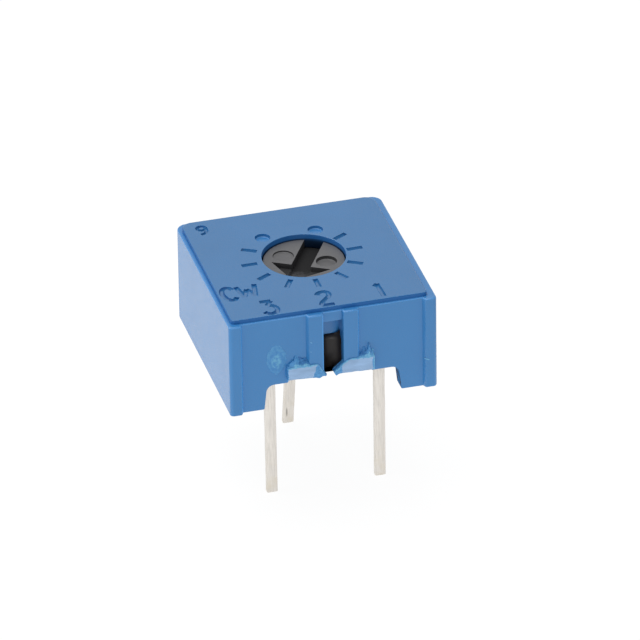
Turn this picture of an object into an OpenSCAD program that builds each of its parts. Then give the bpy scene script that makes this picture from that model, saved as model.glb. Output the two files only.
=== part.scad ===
// Square single-turn trimmer potentiometer with a top-adjusted rotor and three flat leads.
// +Z is up and the groove between the two ribs faces -Y. The part stands on its lead tips at z = 0.
// Heights named _z are measured from the seating plane, where the housing meets the board.

/* [Housing] */
// Width of the housing across the front
housing_w = 9.53; // [9.4:0.01:10.2]
// Depth of the housing from front to back
housing_d = 9.53; // [9.4:0.01:10.2]
// Height of the top face above the seating plane
body_h = 4.75; // [4.7:0.05:5.4]
// Thickness of the side walls
wall_t = 0.95; // [0.85:0.05:1]
// Thickness of the top wall round the rotor chamber
top_wall = 0.95; // [0.9:0.01:1.1]
// Radius of the two back upright edges
back_r = 0.5; // [0.3:0.05:0.8]
// Radius of the two front upright edges
front_r = 0.18; // [0.1:0.01:0.3]
// Radius of the pocket's inside corners
pocket_r = 0.4; // [0.2:0.05:0.6]

/* [Top face] */
// Height of the raised top face above the ledge round it
step_h = 0.18; // [0.1:0.01:0.3]
// Width of the ledge at the front
ledge_front = 0.28; // [0.27:0.01:0.5]
// Width of the ledge at the back
ledge_back = 0.25; // [0.1:0.01:0.5]
// Width of the ledge on the left
ledge_left = 0.17; // [0.1:0.01:0.4]
// Width of the ledge on the right
ledge_right = 0.36; // [0.1:0.01:0.4]
// Distance of the dial axis behind the middle of the housing
dial_y = 0.2; // [0:0.01:0.25]
// Diameter of the hole that shows the rotor
hole_d = 3.78; // [3.6:0.01:3.95]

/* [Dial marks] */
// Angle between neighbouring dial marks
mark_pitch = 30; // [30:1:36]
// Number of straight tick grooves
tick_count = 9; // [5:2:9]
// Length of a tick groove
tick_len = 0.72; // [0.4:0.01:0.9]
// Width of a tick groove
tick_w = 0.17; // [0.1:0.01:0.25]
// Depth of the dial marks
mark_depth = 0.12; // [0.05:0.01:0.16]
// Distance of a tick groove from the edge of the hole
tick_gap = 0.19; // [0.15:0.01:0.3]
// Sideways offset of the ring of marks from the dial axis
marks_x = -0.1; // [-0.1:0.01:0.1]
// Offset of the ring of marks from the dial axis, negative towards the front
marks_y = -0.07; // [-0.1:0.01:0.1]
// Turn of the ring of marks
marks_turn = 0.8; // [-2:0.1:2]
// Diameter of the two end dimples
dimple_d = 0.68; // [0.4:0.01:0.8]
// Distance of a dimple's middle from the dial axis
dimple_r = 2.46; // [2.4:0.01:2.8]

/* [Front face] */
// Width of the flat band at each front corner
band_w = 0.54; // [0.4:0.01:0.7]
// Width of each of the two middle ribs
rib_w = 0.68; // [0.5:0.01:0.8]
// Depth of the panels between the bands and the ribs
panel_depth = 0.24; // [0.15:0.01:0.26]
// Sideways slope of each panel's upright edges
panel_slope = 0.09; // [0.04:0.01:0.15]
// Width of the groove between the ribs
groove_w = 0.9; // [0.7:0.01:1.1]
// Depth of the groove from the face of the ribs
groove_depth = 0.85; // [0.6:0.01:0.9]
// Height of the shallow blind part above the groove, measured down from the ledge
groove_head = 0.54; // [0.3:0.01:0.8]

/* [Stand-off notches] */
// Width of the notches under the front and back walls, up to the potting's level
notch_w = 6.1; // [5.4:0.01:6.4]
// Radius of a notch's upper corners
notch_r = 0.35; // [0.1:0.01:0.4]
// Outward slope of each side of a notch, as widening at its mouth
notch_flare = 0.1; // [0:0.01:0.2]

/* [Torn tab stubs] */
// How far the torn edge of the wall lies above the top of the notch
torn_rise = 0.24; // [0.05:0.01:0.3]
// Width of the left stub
stub_left_w = 1.7; // [1.2:0.01:1.8]
// Width of the right stub
stub_right_w = 1.78; // [1.2:0.01:1.9]
// Distance of the left stub's inner end from the middle
stub_left_x = 0.42; // [0.3:0.01:0.5]
// Distance of the right stub's inner end from the middle
stub_right_x = 0.05; // [0.05:0.01:0.3]
// Height of the stubs
stub_h = 0.64; // [0.5:0.01:0.9]
// How far the stubs stand out from the face of the ribs
stub_proud = 0.05; // [0.02:0.01:0.15]
// How far the stubs reach into the wall behind the panels
stub_sink = 0.08; // [0.05:0.01:0.1]
// Length over which the right stub's inner end slopes up
stub_slope = 0.68; // [0.3:0.01:0.8]

/* [Rotor] */
// Depth of the rotor's face below the top face
face_recess = 0.25; // [0.2:0.01:0.4]
// Radial clearance between the rotor's neck and the hole
rotor_fit = 0.06; // [0.03:0.01:0.09]
// Clearance between the rotor's flange and the chamber's ceiling
axial_fit = 0.05; // [0.03:0.01:0.08]
// Thickness of the rotor's flange
flange_t = 0.6; // [0.5:0.01:0.7]
// Radius of the rotor's flange
flange_r = 2.75; // [2.7:0.01:2.85]
// Width of the screwdriver slot
slot_w = 0.88; // [0.6:0.01:0.95]
// Height of the slot's floor above the seal's pocket
slot_rise = 0.02; // [0.01:0.01:0.08]
// Distance of the arrowhead's base from the dial axis
arrow_base = 0.49; // [0.45:0.01:0.7]
// Half width of the arrowhead's base
arrow_half_w = 1.36; // [1:0.01:1.45]
// Depth of the arrowhead
arrow_depth = 0.24; // [0.15:0.01:0.3]
// Diameter of the two dimples beside the slot
grip_d = 0.94; // [0.6:0.01:0.94]
// Distance of those dimples from the slot's middle line
grip_x = 1; // [0.96:0.01:1.1]
// Distance of those dimples behind the dial axis, away from the arrow
grip_back = 0.17; // [0.1:0.01:0.3]
// Depth of those dimples
grip_depth = 0.1; // [0.03:0.01:0.12]
// Direction in which the arrow points, anticlockwise from +X
arrow_angle = 240; // [120:5:420]

/* [Rotor stop] */
// Mechanical travel of the rotor from stop to stop
travel = 310; // [290:1:320]
// Half angle of the lug on the rotor's flange
lug_half = 12; // [8:1:14]
// Angle left between the lug and the stop at each end of the travel
stop_play = 0.5; // [0.3:0.1:1]
// Radial clearance of the flange inside the stop
stop_fit = 0.1; // [0.05:0.01:0.15]
// Radial clearance of the lug inside the chamber
lug_fit = 0.15; // [0.1:0.01:0.2]
// Radius of the rotor chamber
chamber_r = 3.5; // [3.45:0.01:3.55]

/* [Rotor seal] */
// Thickness of the round seal
seal_cs = 0.28; // [0.25:0.01:0.32]
// Clearance between the seal and its pocket in the housing
seal_fit = 0.03; // [0.02:0.01:0.05]
// Gap between the seal and the rotor that carries it
seal_seat = 0.01; // [0.005:0.005:0.02]

/* [Wiper] */
// Thickness of the wiper's sheet
wiper_t = 0.1; // [0.08:0.01:0.12]
// Radius of the wiper's plate
wiper_r = 2.05; // [1.95:0.01:2.2]
// Height between the rotor's flange and the printed films
wiper_room = 0.55; // [0.5:0.01:0.6]
// Width of one contact finger
finger_w = 0.16; // [0.1:0.01:0.18]
// Gap between neighbouring fingers
finger_gap = 0.1; // [0.06:0.01:0.12]
// Distance from the dial axis at which the outer fingers bend down
finger_root = 1.3; // [1.2:0.01:1.4]
// Distance from the dial axis at which the inner fingers end
collector_reach = 0.25; // [0.1:0.01:0.4]
// Length of each contact tip
toe = 0.14; // [0.1:0.01:0.16]
// Rise of each contact tip at its end
toe_lift = 0.07; // [0.04:0.01:0.1]
// Width of the plate left round its windows
plate_rim = 0.4; // [0.3:0.01:0.45]
// Number of fingers on the resistive track
outer_fingers = 4; // [2:1:4]
// Number of fingers on the collector
inner_fingers = 3; // [2:1:3]
// Gap left under the contact tips
contact_gap = 0.015; // [0.01:0.005:0.03]
// Radius of the two stakes that hold the wiper on the rotor
stake_r = 0.22; // [0.15:0.01:0.25]
// Distance of the stakes from the dial axis
stake_x = 1.45; // [1.3:0.01:1.55]
// Clearance of the stakes in the wiper's holes
stake_fit = 0.02; // [0.01:0.01:0.04]
// How far a stake's formed head reaches past the stake
stake_rim = 0.12; // [0.08:0.01:0.16]
// Thickness of the stakes' formed heads
stake_head = 0.12; // [0.08:0.01:0.15]

/* [Substrate] */
// Thickness of the ceramic substrate
substrate_t = 0.64; // [0.5:0.01:0.68]
// Gap between the substrate and the pocket's walls
substrate_fit = 0.1; // [0.05:0.01:0.15]
// Bevel across the substrate's corners
substrate_bevel = 0.6; // [0.3:0.05:0.8]
// Thickness of the printed films
film_t = 0.03; // [0.02:0.005:0.04]
// Clearance between the printed films and the housing's shelf
shelf_gap = 0.02; // [0.01:0.01:0.05]
// Middle radius of the resistive track, as a share of the nearest lead's distance from the dial axis
track_share = 0.747; // [0.74:0.001:0.755]
// Width of the resistive track
track_w = 0.5; // [0.4:0.01:0.54]
// Angle swept by the resistive track
track_sweep = 300; // [280:1:302]
// Angle taken by the contact pad at each end of the track
end_pad = 8; // [5:1:9]
// Width of the printed conductor from an end pad to its lead
conductor_w = 0.26; // [0.2:0.01:0.3]
// Gap between the track and that conductor
conductor_gap = 0.17; // [0.12:0.01:0.2]
// Radius of the collector's middle
collector_r = 1.1; // [0.9:0.01:1.3]
// Width of the collector's strip to lead 2
strip_w = 0.7; // [0.5:0.01:0.9]
// Radius of the printed pads round the leads
pad_r = 0.46; // [0.45:0.01:0.48]

/* [Leads] */
// Length of the leads below the seating plane
lead_len = 5.55; // [3:0.05:8]
// Width of a lead
lead_w = 0.5; // [0.4:0.01:0.55]
// Thickness of a lead
lead_t = 0.25; // [0.2:0.01:0.3]
// Distance between leads 1 and 3, and between their row and lead 2
lead_pitch = 5.08; // [4.9:0.01:5.1]
// Sideways offset of the three leads from the middle of the housing
lead_offset = 0.17; // [0:0.01:0.2]
// Bevel at the cut tip of a lead
tip_bevel = 0.05; // [0.02:0.01:0.1]
// Clearance of a lead in the substrate's slot
lead_fit = 0.06; // [0.03:0.01:0.08]
// How far a lead stands above the printed pads
lead_top = 0.12; // [0.08:0.01:0.15]
// Height of a solder joint
solder_h = 0.2; // [0.16:0.01:0.24]
// Radius of a solder joint
solder_r = 0.42; // [0.4:0.01:0.44]
// Radius of a solder joint's top, as a share of that radius
solder_taper = 0.55; // [0.5:0.01:0.7]
// Clearance of the housing's shelf round a printed pad
relief_gap = 0.16; // [0.1:0.01:0.2]
// Sideways lean of lead 1 at its tip
lean_1x = -0.05; // [-0.3:0.01:0.3]
// Lean of lead 1 at its tip along the depth, negative towards the front
lean_1y = -0.19; // [-0.3:0.01:0.3]
// Sideways lean of lead 2 at its tip
lean_2x = -0.3; // [-0.5:0.01:0.5]
// Lean of lead 2 at its tip along the depth, negative towards the front
lean_2y = 0.3; // [-0.4:0.01:0.4]
// Sideways lean of lead 3 at its tip
lean_3x = -0.01; // [-0.3:0.01:0.3]
// Lean of lead 3 at its tip along the depth, negative towards the front
lean_3y = -0.22; // [-0.3:0.01:0.3]

/* [Potting] */
// Thickness of the potting under the substrate
potting_t = 0.68; // [0.5:0.01:0.8]
// Height of the potting's underside above the top of the notches
potting_rise = 0.05; // [0.02:0.01:0.1]
// Depth of the potting's face inside the groove, from the face of the ribs
tongue_depth = 0.5; // [0.4:0.01:0.55]
// Distance of the potting's upper end in the groove below the groove's upper end
tongue_drop = 0.98; // [0.6:0.01:1.2]
// Drop of the potting's surface at its upper end in the groove
tongue_fall = 0.25; // [0.15:0.01:0.3]
// Forward reach of the potting's surface over that drop
tongue_reach = 0.1; // [0.05:0.01:0.12]

/* [Hidden] */

// Colours of the real materials
housing_blue = [0.36, 0.54, 0.74];
rotor_grey = [0.27, 0.27, 0.28];
seal_black = [0.12, 0.12, 0.13];
wiper_metal = [0.83, 0.76, 0.55];
ceramic_white = [0.93, 0.92, 0.88];
track_dark = [0.17, 0.16, 0.16];
film_silver = [0.78, 0.77, 0.74];
lead_tin = [0.85, 0.85, 0.83];
solder_tin = [0.74, 0.75, 0.76];
potting_black = [0.08, 0.08, 0.08];

// Overrun that carries a cut clear of the surface that it opens
over = 0.4;
// Facets of the true circles
fine = 96;
coarse = 48;

// Heights of the stack above the seating plane
ledge_z = body_h - step_h;
ceiling_z = body_h - top_wall;
face_z = body_h - face_recess;
flange_top_z = ceiling_z - axial_fit;
flange_z = flange_top_z - flange_t;
wiper_z = flange_z - wiper_t;
film_top_z = flange_z - wiper_room;
substrate_top_z = film_top_z - film_t;
substrate_z = substrate_top_z - substrate_t;
shelf_z = film_top_z + shelf_gap;
potting_z = substrate_z - potting_t;
notch_h = potting_z - potting_rise;
lead_top_z = film_top_z + lead_top;
groove_top_z = ledge_z - groove_head;
tongue_h = groove_top_z - tongue_drop;

// Plan sizes
front_y = -housing_d / 2;
pocket_w = housing_w - 2 * wall_t;
pocket_d = housing_d - 2 * wall_t;
neck_r = hole_d / 2 - rotor_fit;
seal_mid_r = neck_r + seal_seat + seal_cs / 2;
seal_pocket_r = seal_mid_r + seal_cs / 2 + seal_fit;
seal_pocket_h = seal_seat + seal_cs + seal_fit - axial_fit;
slot_z = ceiling_z + seal_pocket_h + slot_rise;
lug_r = chamber_r - lug_fit;
stop_r = flange_r + stop_fit;
stop_half = (360 - travel) / 2 - lug_half - stop_play;
gap_angle = 90;
sweep_half = track_sweep / 2;
lead_near_r = norm([lead_pitch / 2 - lead_offset, lead_pitch / 2]);
track_r = track_share * lead_near_r;
track_out_r = track_r + track_w / 2;
conductor_r = track_out_r + conductor_gap;
relief_r = pad_r + relief_gap;
relief_h = lead_top + solder_h;

// Places of the leads in plan, as lead 1, lead 2 and lead 3
lead_x = [lead_offset + lead_pitch / 2, lead_offset, lead_offset - lead_pitch / 2];
lead_y = [dial_y - lead_pitch / 2, dial_y + lead_pitch / 2, dial_y - lead_pitch / 2];
lean_x = [lean_1x, lean_2x, lean_3x];
lean_y = [lean_1y, lean_2y, lean_3y];

// Lifts what is measured from the seating plane to its place above the lead tips
module seated() {
    translate([0, 0, lead_len]) children();
}

// Puts children on the dial axis
module on_dial() {
    translate([0, dial_y, 0]) children();
}

// Plan outline with its own corner radii at the front and at the back
module block_outline(x0, x1, y0, y1, r_front, r_back) {
    middle = (y0 + y1) / 2;
    translate([x0, y0 + r_front]) square([x1 - x0, y1 - y0 - r_front - r_back]);
    translate([x0 + r_front, y0]) square([x1 - x0 - 2 * r_front, middle - y0]);
    translate([x0 + r_back, middle]) square([x1 - x0 - 2 * r_back, y1 - middle]);
    for (x = [x0 + r_front, x1 - r_front])
        translate([x, y0 + r_front]) circle(r = r_front, $fn = coarse);
    for (x = [x0 + r_back, x1 - r_back])
        translate([x, y1 - r_back]) circle(r = r_back, $fn = coarse);
}

// Flat sector of a ring between two radii, centred on an angle
module ring_sector(r_in, r_out, centre, half) {
    steps = 8;
    reach = 2 * r_out;
    fan = [for (i = [-steps:steps]) let (a = centre + half * i / steps) reach * [cos(a), sin(a)]];
    intersection() {
        difference() {
            circle(r = r_out, $fn = fine);
            circle(r = r_in, $fn = fine);
        }
        polygon(concat([[0, 0]], fan));
    }
}

// Recess of one front panel between two upright edges with sloping sides
module panel_cut(x0, x1) {
    translate([0, 0, -over])
        linear_extrude(ledge_z + 2 * over)
            polygon([[x0, front_y - over], [x0, front_y], [x0 + panel_slope, front_y + panel_depth],
                [x1 - panel_slope, front_y + panel_depth], [x1, front_y], [x1, front_y - over]]);
}

// Outline of a stand-off notch seen from the front, with round upper corners and flared sides
module notch_outline() {
    half = notch_w / 2;
    translate([-half + notch_r, -over]) square([notch_w - 2 * notch_r, notch_h + over]);
    for (side = [-1, 1])
        translate([side * (half - notch_r), notch_h - notch_r])
            circle(r = notch_r, $fn = coarse);
    polygon([[-half, notch_h - notch_r], [half, notch_h - notch_r], [half + notch_flare, 0],
        [half + notch_flare, -over], [-half - notch_flare, -over], [-half - notch_flare, 0]]);
}

// Both stand-off notches, through the front wall and the back wall
module notch_cuts() {
    for (side = [-1, 1])
        translate([0, side * (housing_d / 2 - wall_t / 2), 0])
            rotate([90, 0, 0])
                linear_extrude(wall_t + over, center = true)
                    notch_outline();
}

// Groove between the ribs, open into the pocket at the substrate's level and below
module groove_cut() {
    translate([-groove_w / 2, front_y - over, -over])
        cube([groove_w, groove_depth + over, groove_top_z + over]);
    translate([-groove_w / 2, front_y - over, -over])
        cube([groove_w, wall_t + 2 * over, substrate_z + over]);
    translate([-groove_w / 2, front_y - over, 0])
        cube([groove_w, panel_depth + over, ledge_z + over]);
}

// Tick grooves and end dimples round the hole
module dial_marks() {
    tick_r = hole_d / 2 + tick_gap;
    first = 270 - mark_pitch * (tick_count - 1) / 2;
    translate([marks_x, marks_y, 0]) rotate(marks_turn) {
        for (i = [0:tick_count - 1])
            rotate(first + mark_pitch * i)
                translate([tick_r, -tick_w / 2, body_h - mark_depth])
                    cube([tick_len, tick_w, mark_depth + over]);
        for (side = [-1, 1])
            rotate(270 + side * mark_pitch * (tick_count + 1) / 2)
                translate([dimple_r, 0, body_h - mark_depth])
                    cylinder(r = dimple_d / 2, h = mark_depth + over, $fn = coarse);
    }
}

// Space inside the housing: pocket, rotor chamber, seal pocket, hole and room over the joints
module inner_space() {
    translate([0, 0, -over])
        linear_extrude(shelf_z + over)
            block_outline(-pocket_w / 2, pocket_w / 2, -pocket_d / 2, pocket_d / 2,
                pocket_r, pocket_r);
    on_dial() {
        translate([0, 0, potting_z])
            cylinder(r = chamber_r, h = ceiling_z - potting_z, $fn = fine);
        translate([0, 0, potting_z])
            cylinder(r = seal_pocket_r, h = ceiling_z + seal_pocket_h - potting_z, $fn = fine);
        translate([0, 0, potting_z])
            cylinder(d = hole_d, h = body_h + over - potting_z, $fn = fine);
    }
    for (i = [0:2])
        translate([lead_x[i], lead_y[i], potting_z])
            cylinder(r = relief_r, h = film_top_z + relief_h - potting_z, $fn = coarse);
}

// Stop block moulded in the back of the rotor chamber
module rotor_stop() {
    on_dial()
        translate([0, 0, flange_z])
            linear_extrude(ceiling_z - flange_z + over / 2)
                ring_sector(stop_r, chamber_r + over / 2, gap_angle, stop_half);
}

// Lower edge of the front wall that went with the torn tab
module torn_edge() {
    left = -stub_left_x - stub_left_w;
    right = stub_right_x + stub_right_w;
    translate([left, front_y - over, notch_h - over])
        cube([right - left, wall_t + 2 * over, torn_rise + over]);
}

// Fracture-faced stubs left by the tab that was torn from the front wall
module torn_stubs() {
    y0 = front_y - stub_proud;
    z0 = notch_h + torn_rise;
    depth = stub_proud + panel_depth + stub_sink;
    translate([-stub_left_x - stub_left_w, y0, z0])
        cube([stub_left_w, depth, stub_h]);
    translate([0, y0 + depth, z0])
        rotate([90, 0, 0])
            linear_extrude(depth)
                polygon([[stub_right_x, 0], [stub_right_x + stub_right_w, 0],
                    [stub_right_x + stub_right_w, stub_h], [stub_right_x + stub_slope, stub_h]]);
}

// Moulded housing, open at the bottom
module housing() {
    rib_x = groove_w / 2 + rib_w;
    band_x = housing_w / 2 - band_w;
    color(housing_blue) seated() {
        difference() {
            union() {
                linear_extrude(ledge_z)
                    block_outline(-housing_w / 2, housing_w / 2, front_y, housing_d / 2,
                        front_r, back_r);
                linear_extrude(body_h)
                    block_outline(-housing_w / 2 + ledge_left, housing_w / 2 - ledge_right,
                        front_y + ledge_front, housing_d / 2 - ledge_back, front_r, back_r);
            }
            panel_cut(-band_x, -rib_x);
            panel_cut(rib_x, band_x);
            groove_cut();
            notch_cuts();
            torn_edge();
            inner_space();
            on_dial() dial_marks();
        }
        rotor_stop();
        torn_stubs();
    }
}

// Sunk shapes in the rotor's face, with the arrow along +X
module rotor_face_cuts() {
    translate([-neck_r - over, -slot_w / 2, slot_z])
        cube([2 * (neck_r + over), slot_w, face_z - slot_z + over]);
    translate([0, 0, face_z - arrow_depth])
        linear_extrude(arrow_depth + over)
            polygon([[arrow_base, -arrow_half_w], [arrow_base + arrow_half_w, 0],
                [arrow_base, arrow_half_w]]);
    for (side = [-1, 1])
        translate([-grip_back, side * grip_x, face_z - grip_depth])
            cylinder(d = grip_d, h = grip_depth + over, $fn = coarse);
}

// Rotor: slotted neck, flange with its stop lug, and the stakes that hold the wiper
module rotor() {
    color(rotor_grey) seated() on_dial() rotate(arrow_angle) {
        difference() {
            union() {
                translate([0, 0, flange_z]) cylinder(r = flange_r, h = flange_t, $fn = fine);
                translate([0, 0, flange_z]) cylinder(r = neck_r, h = face_z - flange_z, $fn = fine);
            }
            rotor_face_cuts();
        }
        translate([0, 0, flange_z])
            linear_extrude(flange_t)
                ring_sector(flange_r - over, lug_r, 0, lug_half);
        for (side = [-1, 1])
            translate([0, side * stake_x, 0]) {
                translate([0, 0, wiper_z - stake_head])
                    cylinder(r = stake_r, h = wiper_t + stake_head + over, $fn = coarse);
                translate([0, 0, wiper_z - stake_head])
                    cylinder(r = stake_r + stake_rim, h = stake_head, $fn = coarse);
            }
    }
}

// Round rubber seal between the rotor's neck and the housing
module rotor_seal() {
    color(seal_black) seated() on_dial()
        translate([0, 0, flange_top_z + seal_seat + seal_cs / 2])
            rotate_extrude($fn = fine)
                translate([seal_mid_r, 0]) circle(d = seal_cs, $fn = coarse);
}

// Row of equal bent fingers; path holds the points of a finger's underside, outwards along +X
module finger_row(path, count) {
    pitch = finger_w + finger_gap;
    upper = [for (i = [len(path) - 1:-1:0]) path[i] + [0, wiper_t]];
    for (i = [0:count - 1])
        translate([0, (i - (count - 1) / 2) * pitch + finger_w / 2, 0])
            rotate([90, 0, 0])
                linear_extrude(finger_w) polygon(concat(path, upper));
}

// Stamped spring contact that joins the track to the collector
module wiper() {
    tip_z = film_top_z + contact_gap;
    outer_window = (outer_fingers + 1) * (finger_w + finger_gap);
    inner_window = (inner_fingers + 1) * (finger_w + finger_gap);
    inner_root = wiper_r - plate_rim;
    outer_path = [[finger_root - plate_rim, wiper_z], [finger_root, wiper_z],
        [track_r - toe, tip_z], [track_r, tip_z], [track_r + toe, tip_z + toe_lift]];
    inner_path = [[-inner_root - plate_rim / 2, wiper_z], [-inner_root, wiper_z],
        [-collector_reach - 2 * toe, tip_z], [-collector_reach - toe, tip_z],
        [-collector_reach, tip_z + toe_lift]];
    color(wiper_metal) seated() on_dial() rotate(arrow_angle) {
        difference() {
            translate([0, 0, wiper_z]) cylinder(r = wiper_r, h = wiper_t, $fn = fine);
            translate([-inner_root, -inner_window / 2, wiper_z - over])
                cube([inner_root + finger_root - 2 * plate_rim, inner_window, wiper_t + 2 * over]);
            translate([finger_root, -outer_window / 2, wiper_z - over])
                cube([wiper_r, outer_window, wiper_t + 2 * over]);
            for (side = [-1, 1])
                translate([0, side * stake_x, wiper_z - over])
                    cylinder(r = stake_r + stake_fit, h = wiper_t + 2 * over, $fn = coarse);
        }
        finger_row(outer_path, outer_fingers);
        finger_row(inner_path, inner_fingers);
    }
}

// Slots for the leads, wider than the leads by their clearance
module lead_slots(z0, z1) {
    for (i = [0:2])
        translate([lead_x[i], lead_y[i], (z0 + z1) / 2])
            cube([lead_w + 2 * lead_fit, lead_t + 2 * lead_fit, z1 - z0], center = true);
}

// Ceramic plate that carries the printed films
module substrate() {
    half_w = pocket_w / 2 - substrate_fit;
    half_d = pocket_d / 2 - substrate_fit;
    b = substrate_bevel;
    color(ceramic_white) seated()
        difference() {
            translate([0, 0, substrate_z])
                linear_extrude(substrate_t)
                    polygon([[-half_w + b, -half_d], [half_w - b, -half_d], [half_w, -half_d + b],
                        [half_w, half_d - b], [half_w - b, half_d], [-half_w + b, half_d],
                        [-half_w, half_d - b], [-half_w, -half_d + b]]);
            lead_slots(substrate_z - over, substrate_top_z + over);
        }
}

// Prints a flat outline on top of the substrate and leaves the leads' slots open
module printed() {
    difference() {
        translate([0, 0, substrate_top_z]) linear_extrude(film_t) children();
        lead_slots(substrate_top_z - over, film_top_z + over);
    }
}

// Resistive arc that is open towards the back
module resistive_track() {
    color(track_dark) seated()
        printed() on_dial()
            ring_sector(track_r - track_w / 2, track_out_r, 270, sweep_half);
}

// Angle from the +X axis on the right side, or its mirror image on the left side
function on_side(angle, side) = side > 0 ? angle : 180 - angle;

// Conductor from the track's end at the back, round the outside and to the lead on its side
module end_film(i, side) {
    outside_r = conductor_r + conductor_w;
    offset_x = side * lead_x[i];
    offset_y = lead_y[i] - dial_y;
    lead_angle = atan2(offset_y, offset_x);
    pad_from = sweep_half - gap_angle;
    pad_to = pad_from + end_pad;
    color(film_silver) seated()
        printed() {
            on_dial() {
                ring_sector(track_r - track_w / 2, outside_r,
                    on_side((pad_from + pad_to) / 2, side), end_pad / 2);
                ring_sector(conductor_r, outside_r,
                    on_side((pad_to + lead_angle) / 2, side), (pad_to - lead_angle) / 2);
                rotate(on_side(lead_angle, side))
                    translate([conductor_r, -conductor_w / 2])
                        square([norm([offset_x, offset_y]) - conductor_r, conductor_w]);
            }
            translate([lead_x[i], lead_y[i]]) circle(r = pad_r, $fn = coarse);
        }
}

module end_film_1() {
    end_film(0, 1);
}

module end_film_3() {
    end_film(2, -1);
}

// Collector under the wiper's inner fingers, with its strip to lead 2
module collector_film() {
    color(film_silver) seated()
        printed() {
            on_dial() {
                circle(r = collector_r, $fn = fine);
                translate([lead_x[1] - strip_w / 2, 0]) square([strip_w, lead_pitch / 2]);
            }
            translate([lead_x[1], lead_y[1]]) circle(r = pad_r, $fn = coarse);
        }
}

// Straight strip that is upright above the bend and leans below it, drawn as width over height
module lead_profile(width, lean, bevel) {
    w = width / 2;
    bend_z = potting_z;
    polygon([[-w, lead_top_z], [w, lead_top_z], [w, bend_z], [lean + w, bevel - lead_len],
        [lean + w - bevel, -lead_len], [lean - w + bevel, -lead_len],
        [lean - w, bevel - lead_len], [-w, bend_z]]);
}

// Flat lead: the shape common to its front profile and its side profile
module lead(i) {
    reach = housing_w;
    color(lead_tin) seated()
        translate([lead_x[i], lead_y[i], 0])
            intersection() {
                rotate([90, 0, 0])
                    linear_extrude(reach, center = true)
                        lead_profile(lead_w, lean_x[i], tip_bevel);
                rotate([90, 0, 90])
                    linear_extrude(reach, center = true)
                        lead_profile(lead_t, lean_y[i], tip_bevel);
            }
}

module lead_1() {
    lead(0);
}

module lead_2() {
    lead(1);
}

module lead_3() {
    lead(2);
}

// Solder joint round the top of a lead: a low cone that closes over the lead's end
module solder(i) {
    color(solder_tin) seated()
        translate([lead_x[i], lead_y[i], film_top_z])
            difference() {
                cylinder(r1 = solder_r, r2 = solder_r * solder_taper, h = solder_h, $fn = coarse);
                translate([0, 0, lead_top / 2 - over / 2])
                    cube([lead_w, lead_t, lead_top + over], center = true);
            }
}

module solder_1() {
    solder(0);
}

module solder_2() {
    solder(1);
}

module solder_3() {
    solder(2);
}

// Epoxy that seals the underside and has crept into the front groove
module potting() {
    wall_y = front_y + wall_t;
    tongue_y = front_y + tongue_depth;
    back_y = front_y + groove_depth;
    color(potting_black) seated()
        difference() {
            union() {
                translate([0, 0, potting_z])
                    linear_extrude(substrate_z - potting_z)
                        block_outline(-pocket_w / 2, pocket_w / 2, -pocket_d / 2, pocket_d / 2,
                            pocket_r, pocket_r);
                translate([-groove_w / 2, tongue_y, potting_z])
                    cube([groove_w, wall_y - tongue_y + over / 2, substrate_z - potting_z]);
                translate([-groove_w / 2, 0, 0])
                    rotate([90, 0, 90])
                        linear_extrude(groove_w)
                            polygon([[tongue_y, potting_z], [back_y, potting_z],
                                [back_y, tongue_h], [tongue_y + tongue_reach, tongue_h - tongue_fall]]);
            }
            for (i = [0:2])
                translate([lead_x[i], lead_y[i], 0])
                    cube([lead_w, lead_t, 2 * body_h], center = true);
        }
}

housing();
rotor();
rotor_seal();
wiper();
substrate();
resistive_track();
end_film_1();
end_film_3();
collector_film();
lead_1();
lead_2();
lead_3();
solder_1();
solder_2();
solder_3();
potting();
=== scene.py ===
"""Builds the visible pieces of a square top-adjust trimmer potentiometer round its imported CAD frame.

Every piece is modelled in millimetres above the seating plane, where the housing meets the board,
and place_piece() then brings it to metres and to its height above the lead tips.
"""
import math

import bpy
from mathutils import Matrix, Vector, noise


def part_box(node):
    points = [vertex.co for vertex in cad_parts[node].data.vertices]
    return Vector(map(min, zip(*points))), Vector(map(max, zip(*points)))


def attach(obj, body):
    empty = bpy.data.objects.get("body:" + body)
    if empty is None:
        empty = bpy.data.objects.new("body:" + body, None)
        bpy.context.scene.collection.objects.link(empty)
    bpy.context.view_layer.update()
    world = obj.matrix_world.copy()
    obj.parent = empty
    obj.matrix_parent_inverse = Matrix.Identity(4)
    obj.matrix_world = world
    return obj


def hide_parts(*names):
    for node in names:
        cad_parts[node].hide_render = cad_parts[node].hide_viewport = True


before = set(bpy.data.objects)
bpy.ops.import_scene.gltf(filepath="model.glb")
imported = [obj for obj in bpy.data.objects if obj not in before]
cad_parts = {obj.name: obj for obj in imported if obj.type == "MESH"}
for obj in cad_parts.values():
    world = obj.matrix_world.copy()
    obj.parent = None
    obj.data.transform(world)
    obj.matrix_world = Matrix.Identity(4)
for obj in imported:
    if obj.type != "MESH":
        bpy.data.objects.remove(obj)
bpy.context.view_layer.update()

bl_info = {
    "name": "Trimmer potentiometer",
    "version": (1, 0, 0),
    "blender": (4, 5, 0),
    "location": "3D View > Sidebar > Trimmer",
    "description": "Models and finishes the visible pieces of a square trimmer potentiometer",
    "category": "Add Mesh",
}

MM = 0.001
LOW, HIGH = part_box("housing")
SEAT = LOW[2]
OVER = 0.4


# ---- Properties ----

def length(label, note, value):
    """Length property whose default is given in millimetres."""
    return bpy.props.FloatProperty(name=label, description=note, default=value * MM, unit="LENGTH", precision=5)


def angle(label, note, degrees):
    """Angle property whose default is given in degrees."""
    return bpy.props.FloatProperty(name=label, description=note, default=math.radians(degrees), unit="ROTATION")


def colour(label, note, red, green, blue):
    """Linear colour property whose default is given as 0 to 255 display values."""
    linear = [((v / 255 + 0.055) / 1.055) ** 2.4 for v in (red, green, blue)]
    return bpy.props.FloatVectorProperty(name=label, description=note, default=linear, size=3, subtype="COLOR", min=0, max=1)


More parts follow.
